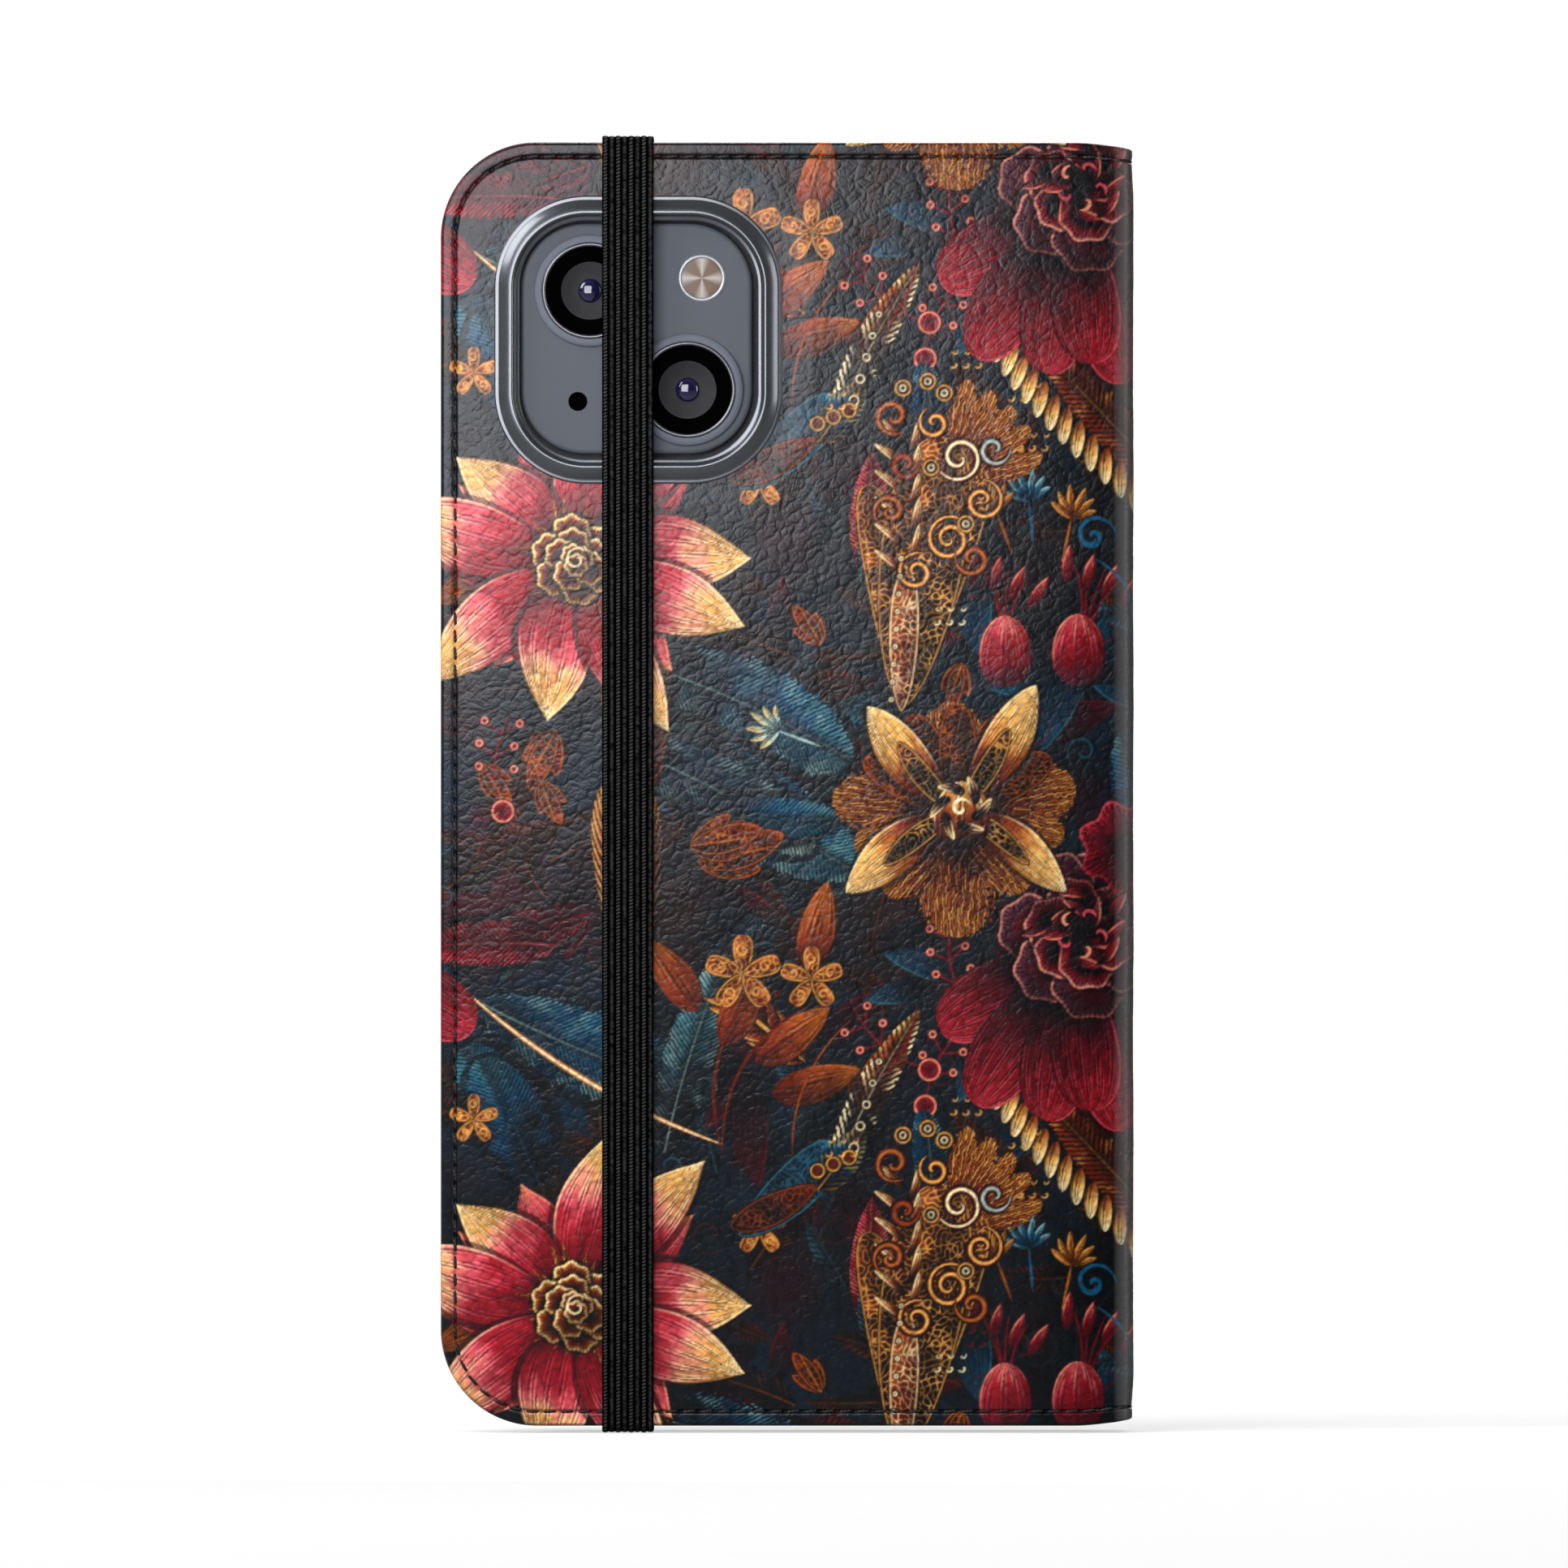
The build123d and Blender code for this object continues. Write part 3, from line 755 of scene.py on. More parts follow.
def sunburst(art, at, radius, turn0):
    """The large crimson flower: pointed petals with golden tips around a small golden rose."""
    rng = art.rng
    art.shade(at, radius * 1.3, "black", 0.6)
    stops = "black wine crimson crimson crimson rose blush gold gold cream"
    low = "black wine wine ember crimson rose gold"
    for i in range(9):
        turn = turn0 + 20 + i * 40 + rng.uniform(-6, 6)
        bend, length = rng.uniform(-0.1, 0.1), radius * rng.uniform(0.85, 1.0)
        under = petal_paint(low, "blush", "wine", 10, 0.4, rng.choice([-1, 1]))
        art.leaf(at, turn, length, radius * 0.38, under, bend, 0.5, 2.5)
    for i in range(9):
        turn = turn0 + i * 40 + rng.uniform(-5, 5)
        length, size = radius * rng.uniform(0.98, 1.26), radius * rng.uniform(0.40, 0.50)
        bend = rng.choice([-1, 1]) * rng.uniform(0.06, 0.22)
        paint = petal_paint(stops, "cream", "wine", 13, 0.7, rng.choice([-1, 1]))
        art.leaf(at, turn, length, size, paint, bend, 0.54, 2.5, shadow=(1.02, 1.16, 0.45))
    art.shade(at, radius * 0.5, "black", 0.7)
    hairy = hair_paint("wine rust amber", "gold")
    for i in range(18):
        turn, length = i * 20 + rng.uniform(-8, 8), radius * rng.uniform(0.3, 0.42)
        art.leaf(at, turn, length, radius * 0.07, hairy, peak=0.3)
    art.shade(at, radius * 0.3, "black", 0.85)
    golden_rose(art, at, radius * 0.25)


def golden_rose(art, at, radius):
    """A small rose of cupped petals, brown inside with cream edges."""
    cup = shell_paint("black bark rust amber gold", "cream", 5.0)
    for share, count, size in [(0.66, 6, 0.5), (0.4, 5, 0.42), (0.14, 3, 0.3)]:
        for i in range(count):
            angle = 2 * math.pi * (i + share) / count + art.rng.uniform(-0.2, 0.2)
            foot = polar(at, radius * share, angle)
            art.disc(foot, radius * size * 1.15, black, 0.6)
            art.disc(foot, radius * size, cup, wavy=0.07)
    art.stroke(spiral(at, radius * 0.3, 1.1, 40, points=14), 0.3, "cream", 0.9)


def star_lily(art, at, radius):
    """The golden flower: four curling petals over brown hairy sepals, with a rounded golden heart."""
    art.shade(at, radius * 1.4, "black", 0.65)
    hairy = hair_paint("black bark rust copper amber", "gold")
    for turn, length, width in [
        (268, 1.15, 0.85), (228, 1.0, 0.55), (308, 0.95, 0.55), (172, 1.15, 0.66), (10, 1.1, 0.7),
        (198, 1.0, 0.5), (345, 1.0, 0.5), (92, 1.0, 0.7),
    ]:
        art.leaf(at, turn, radius * length, radius * width, hairy, 0.03, 0.6, 1.1, ragged=0.4, strength=0.9)
    mesh = filigree_paint("black bark rust", "amber")
    for turn in (64, 116, 90, 30, 150):
        art.leaf(at, turn, radius * 0.98, radius * 0.36, mesh, 0.0, 0.6, 1.0)
    art.shade(at, radius * 0.8, "black", 0.6)
    stops = "black bark rust amber gold gold cream"
    inner = filigree_paint("black black rust", "gold", 0.8)
    for turn, length, width, bend, hand in [
        (50, 1.35, 0.44, 0.14, 1), (140, 1.25, 0.44, -0.16, -1), (207, 1.25, 0.44, 0.16, -1),
        (-22, 1.2, 0.4, -0.26, 1),
    ]:
        long, wide = radius * length, radius * width
        outer = petal_paint(stops, "cream", "bark", 12, 0.75, hand)
        art.leaf(at, turn, long, wide, outer, bend, 0.56, 1.9, shadow=(1.02, 1.18, 0.5))
        art.leaf(at, turn, long * 0.66, wide * 0.5, inner, bend, 0.55, 1.2)
    heart = np.array([at[0] + radius * 0.03, at[1] - radius * 0.05])
    crown = heart + (0, radius * 0.08)
    bowl = petal_paint("black rust amber gold", "cream", "bark", 7, 0.7)
    art.leaf(heart - (0, radius * 0.3), 88, radius * 0.62, radius * 0.52, bowl, 0, 0.45, 0.8)
    fold = petal_paint("black bark gold", "cream", "black", 2, 0.6)
    for i in range(6):
        foot = polar(crown, radius * 0.13, math.radians(60 * i + 15))
        art.leaf(foot, 60 * i + 80, radius * 0.24, radius * 0.11, fold, 0.4, 0.5, 1.0)
    art.stroke(spiral(crown, radius * 0.09, 1.0, 20, points=12), 0.4, "cream")


def plume(art, at, turn, length, width, stops, light, bend, pitch=0.6):
    """A feather with a shaft, drawn over a dark shadow."""
    art.leaf(at, turn, length * 1.03, width * 1.2, black, bend, 0.5, 1.0, strength=0.5)
    art.leaf(at, turn, length, width, feather_paint(stops, light, pitch), bend, 0.5, 0.95, ragged=0.22)


def fern(art, at, turn, length, width, pairs):
    """A copper frond: pointed blades in pairs along a bent stem."""
    angle = math.radians(turn)
    paint = petal_paint("bark rust copper amber", "gold", "black", 5, 0.7)
    for i in range(pairs):
        share = i / pairs
        place = polar(at, length * share, angle)
        size = width * (0.75 + 0.4 * math.sin(math.pi * share)) * (1 - 0.35 * share)
        for hand in (1, -1):
            art.leaf(place, turn + hand * 40, size * 1.03, size * 0.3, black, -0.2 * hand)
            art.leaf(place, turn + hand * 40, size, size * 0.24, paint, -0.2 * hand, 0.45, 1.3)
    art.stroke([at, polar(at, length, angle)], 0.45, "gold", 0.9)


def scroll_bird(art, at):
    """Gold and copper scrollwork in a teardrop that narrows downwards, with eyes, curls and a crest."""
    u, v = at
    art.shade((u, v - 4), 16, "black", 0.6)
    hairy = hair_paint("black rust copper amber", "gold", 0.34)
    for turn in (8, 24, 38, 52, 66):
        art.leaf((u + 2, v + 1), turn, 13.0, 4.0, hairy, 0.12, 0.6, 1.1, ragged=0.4)
    blue = feather_paint("black storm sea", "ice", 0.5)
    art.leaf((u + 1, v + 1), 84, 14.5, 4.2, blue, 0.15, 0.6, 1.1)
    red = feather_paint("black ember crimson rose", "blush", 0.5)
    art.leaf((u - 5, v - 12), 100, 17, 5.5, red, -0.12)
    art.leaf((u - 6.0, v - 13), 92, 13, 3.4, feather_paint("black sea storm", "ice"), -0.1)
    body = filigree_paint("black bark copper", "gold", 0.85)
    for turn, length, width, bend in [(79, 30, 7, -0.12), (92, 27, 6, 0.12), (84, 33, 10.5, -0.04)]:
        art.leaf((u - 2.2, v - 26), turn, length, width, body, bend, 0.62, 1.0)
    tail = filigree_paint("rust copper amber", "cream", 0.8)
    art.leaf((u - 2.4, v - 26.5), 88, 17, 3.8, tail, 0.0, 0.6, 0.9)
    blade = petal_paint("black copper gold", "cream", "black", 2, 0.6)
    for i in range(11):
        foot = (u - 2 + 0.5 * (i % 2), v - 10 + 1.6 * i)
        art.leaf(foot, 60 if i % 2 else 125, 4.6, 1.1, blade, 0.25, 0.5, 1.0)
    for du, dv, radius, turns, turn, hand, name in [
        (4.6, 4.2, 2.7, 1.5, 200, 1, "cream"), (7.4, -1.0, 2.4, 1.4, 90, -1, "gold"),
        (3.4, -5.6, 2.7, 1.9, 20, 1, "gold"), (-3.4, 9.2, 2.1, 1.3, 300, -1, "amber"),
        (6.2, -8.0, 2.0, 1.3, 160, 1, "amber"), (8.8, 5.2, 1.9, 1.2, 10, -1, "ice"),
        (-3.8, -2.2, 1.9, 1.3, 240, -1, "amber"), (-0.6, -9.6, 2.2, 1.5, 60, 1, "gold"),
        (1.6, 8.4, 1.8, 1.3, 120, 1, "gold"), (-2.0, 3.4, 1.7, 1.3, 10, -1, "copper"),
    ]:
        curl = spiral((u + du, v + dv), radius, turns, turn, hand, 34)
        for width, colour in ((1.25, "black"), (0.8, "rust"), (0.36, name)):
            art.stroke(curl, width, colour)
    for du, dv in ((-2.2, 12.6), (0.8, 13.4), (2.8, 12.0), (1.2, 3.0), (5.4, -3.8)):
        art.disc((u + du, v + dv), 1.15, ring_paint("black", "rust", "gold"))
        art.disc((u + du, v + dv), 0.6, ring_paint("black", "black", "cream"))
    for share in np.linspace(0, 1, 9):
        art.disc((u - 3.6 + 1.2 * share, v - 25 + 17 * share), 0.45, ring_paint("bark", "amber", "cream"))


def quill(art, at):
    """A slim feather of cream ladders over a blue band and a teal curl-filled base."""
    u, v = at
    art.shade((u - 4, v - 6), 12, "black", 0.6)
    base = filigree_paint("black storm sea", "teal", 0.8)
    art.leaf((u - 15.5, v - 17), 38, 16, 6.0, base, 0.08, 0.6, 1.0)
    art.leaf((u - 16.5, v - 16), 20, 12, 4.0, filigree_paint("black bark rust", "copper", 0.8), 0.1)
    rungs = feather_paint("black night copper gold", "cream", 1.0, 1.2, 0.95)
    art.leaf((u - 4.0, v - 9.5), 68, 22, 4.4, rungs, -0.1, 0.45, 1.1)
    band = feather_paint("black storm sea copper", "gold", 0.8)
    art.leaf((u - 6.0, v - 11.5), 52, 9.5, 4.6, band)
    for i in range(5):
        place = (u - 1.6 + 0.75 * i, v - 6.4 + 2.6 * i)
        art.disc(place, 0.8 - 0.07 * i, ring_paint("black", "bark", "cream"))
    for i in range(3):
        art.disc((u - 6.0 + 1.9 * i, v - 9.2 + 0.8 * i), 1.05, ring_paint("rust", "black", "gold"))
    art.stroke(arc((u - 9, v - 8), (u - 2, v + 9), 0.12), 0.26, "copper")
    art.stroke(arc((u + 1.5, v + 2), (u + 6, v + 11), -0.1), 0.3, "ember")


def bulb(art, at, tilt):
    """A purple bud on tall thin stems."""
    u, v = at
    tip = petal_paint("wine ember crimson", "blush", "wine", 4)
    for i in range(4):
        foot, head = (u + (i - 1.5) * 0.6, v - 1), (u + (i - 1.2) * 2.4 + tilt, v + 12 - i)
        art.stroke(arc(foot, head, 0.08 * (i - 1.5)), 0.34, "ember", 0.9)
        art.leaf((u + (i - 1.2) * 2.2 + tilt * 0.8, v + 8 - i), 85 - 9 * i, 4.6, 1.5, tip)
    bud = petal_paint("plum ember crimson rose", "blush", "plum", 8)
    art.leaf((u, v - 4.4), 90, 8.6, 6.4, bud, 0, 0.45, 0.9)


def sprig(art, at, turn, name):
    """Thin leaves that fan from one stem."""
    head = polar(at, 5.5, math.radians(turn))
    art.stroke([at, head], 0.32, name)
    paint = petal_paint(name, "ice" if name == "sea" else "gold", "black", 3)
    for spread in (-62, -38, -14, 14, 38, 62):
        art.leaf(head, turn + spread, 4.4 - 0.02 * abs(spread), 0.95, paint, 0, 0.5, 1.2)


def paisley(art, at, turn, size):
    """A small copper leaf of chased curls with a pointed, notched edge."""
    paint = filigree_paint("black bark rust copper", "amber")
    for spread, share in ((-24, 0.7), (24, 0.7), (0, 1.0)):
        art.leaf(at, turn + spread, size * share, size * share * 0.4, paint, 0.1, 0.5, 1.3)
    art.stroke([at, polar(at, 0.9 * size, math.radians(turn))], 0.3, "amber", 0.8)


def clover(art, at, size):
    """A small copper flower with scrolls in its petals."""
    art.shade(at, size * 1.3, "black", 0.6)
    paint = filigree_paint("bark copper amber", "gold")
    for i in range(5):
        turn = 90 + 72 * i
        art.leaf(at, turn, size, size * 0.58, paint, 0, 0.68, 0.8)
        place = polar(at, size * 0.62, math.radians(turn))
        art.stroke(spiral(place, size * 0.17, 1.2, turn, points=16), 0.24, "gold", 0.8)


def berries(art, at, turn):
    """A thin branch with a bead at each twig's end."""
    berry = ring_paint("wine", "crimson", "blush")
    line = arc(at, polar(at, 12, math.radians(turn)), 0.12)
    art.stroke(line, 0.28, "ember")
    for i in (4, 7, 10):
        for hand in (1, -1):
            end = polar(line[i], 2.6, math.radians(turn + hand * 55))
            art.stroke([line[i], end], 0.24, "ember")
            art.disc(end, 0.62, berry)
    art.disc(at, 1.5, berry)


def sparks(art, at, name):
    """A few short ticks and dots."""
    for i in range(3):
        u = at[0] + 1.5 * i
        art.stroke(spiral((u, at[1]), 0.55, 0.6, 200, points=8), 0.24, name, 0.9)
        art.stroke(spiral((u, at[1] + 1.5), 0.45, 0.6, 30, -1, points=8), 0.22, name, 0.8)


def draw_ground(art):
    """Wide patches of colour, with the low plants over them."""
    ground(art)
    for at, radius, name, strength in [
        ((76, 56), 20, "wine", 0.8), ((4, 64), 16, "ember", 0.45), ((36, 86), 20, "storm", 0.75),
        ((24, 60), 14, "bark", 0.7), ((60, 62), 18, "bark", 0.7), ((14, 44), 20, "storm", 0.8),
        ((70, 8), 14, "black", 0.7), ((82, 18), 16, "black", 0.7), ((88, 76), 12, "storm", 0.6),
    ]:
        art.shade(at, radius, name, strength)
    undergrowth(art)


def draw_feathers(art):
    """Blue and red plumes, the cream stem, the rust wing with its golden edge, and the ferns."""
    blue = "black storm sea teal"
    for at, turn, length, size, stops, light, bend in [
        ((25, 1.5), -18, 27, 12, blue, "ice", -0.12), ((26, 84), -42, 30, 12, blue, "ice", 0.12),
        ((22, 82), -22, 26, 9, "black storm slate ice", "ice", -0.10),
        ((31, 74), -8, 17, 6, blue, "teal", 0.10),
        ((5, 51), -28, 30, 11, "storm sea teal", "ice", 0.12),
        ((14, 33), 138, 17, 9, blue, "sea", -0.10), ((12, 29), 112, 17, 9, blue, "sea", 0.05),
        ((27, 33), 78, 25, 7, "black slate teal ice", "ice", -0.10),
        ((88, 70), 118, 15, 7, blue, "sea", -0.1), ((90, 22), 105, 15, 8, blue, "sea", 0.1),
        ((3, 58), 160, 15, 6, "wine ember crimson", "rose", 0.1),
        ((18, 62), 200, 17, 6, "wine ember", "crimson", -0.1),
        ((14, 58), 175, 16, 6, "wine crimson", "rose", 0.1),
    ]:
        plume(art, at, turn, length, size, stops, light, bend)
    stem = arc((3, 52.5), (34, 34), -0.05, 20)
    art.stroke(stem, 0.75, "amber")
    art.stroke(stem, 0.3, "cream")
    rust = "black rust copper"
    for at, turn, length, size, bend in [
        ((88, 24), 122, 27, 8, 0.10), ((86, 22), 110, 25, 7, 0.18), ((91, 20), 132, 26, 6, 0.02),
    ]:
        plume(art, at, turn, length, size, rust, "gold", bend, 0.8)
    blade = petal_paint("copper gold cream", "cream", "bark", 3)
    for share in np.arange(15) / 15:
        place = (67.5 + 20 * share**1.4, 45.5 - 24 * share)
        art.leaf(place, 235 + 35 * share, 4.4, 1.7, blade, 0.1, 0.5, 1.0)
    for at in ((24.0, 76.0), (23.0, 57.0)):
        fern(art, at, 92, 18, 9, 12)
    fern(art, (44, 44), 140, 13, 6, 6)


def draw_small_plants(art):
    """Copper leaves and blossoms, berries, buds, sprigs and curls."""
    for at, turn, size in [
        ((31, 68), 12, 11), ((30, 70), 8, 9), ((14, 84), 240, 8), ((5, 80), 300, 6), ((12, 78), 290, 6),
        ((50, 38), 60, 8), ((88, 62), 80, 7), ((84, 66), 20, 7), ((63, 2), 250, 6), ((46, 4), 120, 6),
    ]:
        paisley(art, at, turn, size)
    copper = petal_paint("rust copper amber", "amber", "bark", 5)
    for at, turn in [
        ((34, 46), 60), ((38, 44), 30), ((40, 40), 10), ((44, 55), 70), ((31, 50), 120), ((9, 14), 200),
    ]:
        art.leaf(at, turn, 11, 4.6, copper, 0.1)
    for at, size in [((36.5, 54.6), 4.6), ((44.8, 54.0), 3.8), ((38.5, 24.0), 3.4), ((4.0, 37.0), 3.0)]:
        clover(art, at, size)
    art.stroke(arc((34, 33), (37, 52), 0.12), 0.4, "rust")
    art.stroke(arc((34, 33), (45, 51), 0.16), 0.4, "rust")
    for at, turn in [((58.5, 38.6), 60), ((7.5, 74.2), 85), ((64, 50), 100), ((59, 43), 140)]:
        berries(art, at, turn)
    for at, tilt in [((68.2, 3.4), -1.5), ((77.0, 3.6), 1.5)]:
        bulb(art, at, tilt)
    for at, turn, name in [
        ((71.5, 16), 95, "sea"), ((69, 15), 110, "amber"), ((75, 14), 78, "amber"), ((46, 82), 160, "ice"),
    ]:
        sprig(art, at, turn, name)
    for radius, turn in ((2.6, 0), (1.7, 120), (1.0, 240)):
        art.stroke(spiral((78.8, 17.2), radius, 0.9, turn, points=18), 0.5, "sea")
    art.stroke(arc((79, 14.5), (84, 6), 0.15), 0.4, "sea")
    quill(art, (51.5, 40))
    scroll_bird(art, (58.0, 22.5))
    for at, name in [
        ((62, 38), "gold"), ((69, 34), "gold"), ((70, 28), "gold"), ((60, 7), "cream"), ((64, 10), "rust"),
        ((47, 33), "gold"),
    ]:
        sparks(art, at, name)


def draw_flowers(art):
    """The dark rose over its wine petals, the golden flower and the large crimson one."""
    art.shade((77.0, 50), 17, "wine", 0.75)
    stops = "black black wine ember crimson"
    for i, turn in enumerate((205, 338, 232, 312, 256, 288, 272)):
        hand = (-1) ** i
        paint = petal_paint(stops, "rose", "black", 13, 0.5, hand)
        art.leaf((77.0, 57.0), turn, 19 + (i % 3) * 1.5, 8.5, paint, 0.05 * hand, 0.66, 1.3)
    peony(art, (77.4, 59.6), 9.6)
    art.disc((82.5, 70.0), 5.2, shell_paint("black wine ember crimson", "rose", 7.0), wavy=0.1)
    star_lily(art, (62.4, 74.2), 13.2)
    sunburst(art, (16.4, 14.4), 19.0, 12)


def grade(art):
    """Fine hatching over the whole print, deeper tones, and a dark ground that keeps its colour."""
    level = art.colour.mean(axis=2)
    hatch = art.grain * 0.5 + art.maze * 0.3
    colour = art.colour * (1 + 0.10 * hatch * smooth(0.02, 0.3, level))[..., None]
    colour = np.clip(colour, 0, 1) ** 1.16
    grey = colour.mean(axis=2, keepdims=True)
    dark = 1 - smooth(0.10, 0.45, grey)
    strong = grey + (colour - grey) * (1 + 0.8 * dark)
    art.colour = np.clip(strong * (1 - 0.22 * dark), 0, 1)


def paint_print(width, height, density):
    """The whole repeat, back to front. The sheet's free edge is at u = 0 and its lower edge at v = 0."""
    art = Print(width, height, density)
    for draw in (draw_ground, draw_feathers, draw_small_plants, draw_flowers, grade):
        draw(art)
    return art


# ------------------------------------------------------------------------------------ the folded sheet
FOLD_DROOP = 0.65


class Fold:
    """The path of a sheet round the case, seen from above: along the back, round two bends and back along
    the front. Each inset is how far inside the outer leather faces it runs, radius is that of its bends, and
    margin is how far it stays inside the covers' edges. facing is 1 if its good side is outside, or -1."""

    def __init__(self, back_inset, spine_inset, front_inset, radius, margin=0.0, facing=1):
        self.start = FREE_EDGE + margin
        self.half = HEIGHT / 2 - margin
        self.corner = COVER_CORNER - margin
        self.side = self.half - self.corner
        self.back_y, self.front_y = BACK_FACE + back_inset, FRONT_FACE - front_inset
        self.radius, self.facing = radius, facing
        self.cover = SPINE_FACE - spine_inset - radius - self.start
        self.bend = math.pi * radius / 2
        self.length = 2 * self.cover + 2 * self.bend + self.front_y - self.back_y - 2 * radius
        self.middle = self.length / 2

    def mirrored(self, a):
        """The distance along the path from the nearer free edge."""
        return np.minimum(a, self.length - a)

    def at(self, a):
        """x, y and the good side's direction, at distances along the path, which runs on past its ends."""
        near = self.mirrored(a)
        turn = np.clip((near - self.cover) / self.radius, 0, math.pi / 2)
        past = np.clip(near - self.cover - self.bend, 0, None)
        x = self.start + np.minimum(near, self.cover) + self.radius * np.sin(turn)
        y = self.back_y + self.radius * (1 - np.cos(turn)) + past
        front = a > self.middle
        y = np.where(front, self.back_y + self.front_y - y, y)
        ny = np.where(front, np.cos(turn), -np.cos(turn))
        return x, y, self.facing * np.sin(turn), self.facing * ny

    def points(self, a, rise, lift=0.0, end=None):
        """Places of the bent sheet, a height above its good side. end is the rise that sets how far the
        sheet's upper and lower edges draw in, if it isn't the place's own."""
        x, y, nx, ny = self.at(a)
        z = MID_Z + rise + droop(self, a, rise if end is None else end)
        return xyz(x + nx * lift, y + ny * lift, z)


def fold_columns(low, high, fine, usual, fine_low, fine_high):
    """Distances along a path, closer together over the few millimetres at the ends that need it."""
    reach = 3.0
    start, end = low + reach * fine_low, high - reach * fine_high
    middle = np.linspace(start, end, round((end - start) / usual) + 1)
    rim = np.arange(0, reach, fine)
    parts = [low + rim] * fine_low + [middle] + [(high - rim)[::-1]] * fine_high
    return np.concatenate(parts)


def cover_rows(fold, radius, corner_rows, usual):
    """Heights of a sheet's rows from its middle: close together at the ends of its rounded corners."""
    turn = np.linspace(0, math.pi / 2, corner_rows + 1)
    middle = np.linspace(-fold.side, fold.side, round(2 * fold.side / usual) + 1)[1:-1]
    ends = fold.side + radius * np.sin(turn)
    return np.concatenate([-ends[::-1], middle, ends])


def corner_pull(fold, rise, radius):
    """How far the rounded corners move a row's end in from the sheet's straight edge."""
    past = np.clip(np.abs(rise) - fold.side, 0, radius)
    return radius - np.sqrt(radius**2 - past**2)


def edge_distance(fold, a, rise):
    """How far inside the sheet's outline a place is, and how far along the seam it lies from mid-height."""
    near, high = fold.mirrored(a), np.abs(rise)
    past_a, past_z = fold.corner - near, high - fold.side
    in_corner = (past_a > 0) & (past_z > 0)
    gap = np.where(in_corner, fold.corner - np.hypot(past_a, past_z), np.minimum(near, fold.half - high))
    seam_radius = fold.corner - STITCH_INSET
    turned = fold.side + seam_radius * np.arctan2(np.maximum(past_z, 0), np.maximum(past_a, 1e-6))
    over = fold.side + seam_radius * math.pi / 2 + np.maximum(-past_a, 0)
    seam = np.where(in_corner, turned, np.where(near < fold.half - high, high, over))
    return gap, seam


def droop(fold, a, rise):
    """The sheet's upper and lower edges draw in a little at the folds and along the spine."""
    near = smooth(fold.cover - 5.0, fold.cover + fold.bend, fold.mirrored(a))
    return -np.sign(rise) * FOLD_DROOP * near * smooth(fold.half - 9, fold.half, np.abs(rise))


def outline_normals(fold, a, rise):
    """The directions out of a sheet's outline, in its own plane."""
    away_a, away_z = fold.mirrored(a) - fold.corner, np.abs(rise) - fold.side
    normal_a = np.where(away_z > 0, np.minimum(away_a, 0), -1.0)
    normal_z = np.where(away_z > 0, away_z, 0.0)
    size = np.hypot(normal_a, normal_z)
    return normal_a / size * np.where(a > fold.middle, -1, 1), normal_z / size * np.sign(rise)


def edge_profile(inset, thick, tuck):
    """A sheet's edge from its face, round its thickness and in behind: distances outward and heights."""
    turn = np.linspace(0, math.pi, 11)[1:]
    behind = np.linspace(0, tuck, max(2, round(tuck / 0.8)))[1:]
    out = np.concatenate([inset * np.sin(turn), -behind])
    down = np.concatenate([-thick / 2 * (1 - np.cos(turn)), np.full(len(behind), -thick)])
    travel = np.cumsum(np.hypot(np.diff(out, prepend=0), np.diff(down, prepend=0)))
    return out[:, None], down[:, None], travel[:, None]


def window_distance(x, z, size, corner):
    """How far outside the camera window's rounded square a place is."""
    dx = np.abs(x - CAMERA_X) - (size / 2 - corner)
    dz = np.abs(z - CAMERA_Z) - (size / 2 - corner)
    return np.hypot(np.maximum(dx, 0), np.maximum(dz, 0)) + np.minimum(np.maximum(dx, dz), 0) - corner


def cut_window(fold, a, rise, window, reach):
    """Moves the back cover's places that are nearer to the window's outline than reach onto it. Returns
    which places to keep, and the moved ones."""
    x, on_back = fold.at(a)[0], a < fold.cover
    distance = window_distance(x, rise + MID_Z, *window)
    out_x, out_z = x - CAMERA_X, rise + MID_Z - CAMERA_Z
    snap = np.where(on_back & (np.abs(distance) < reach), -distance / np.hypot(out_x, out_z), 0)
    return ~(on_back & (distance < -reach)), a + snap * out_x, rise + snap * out_z


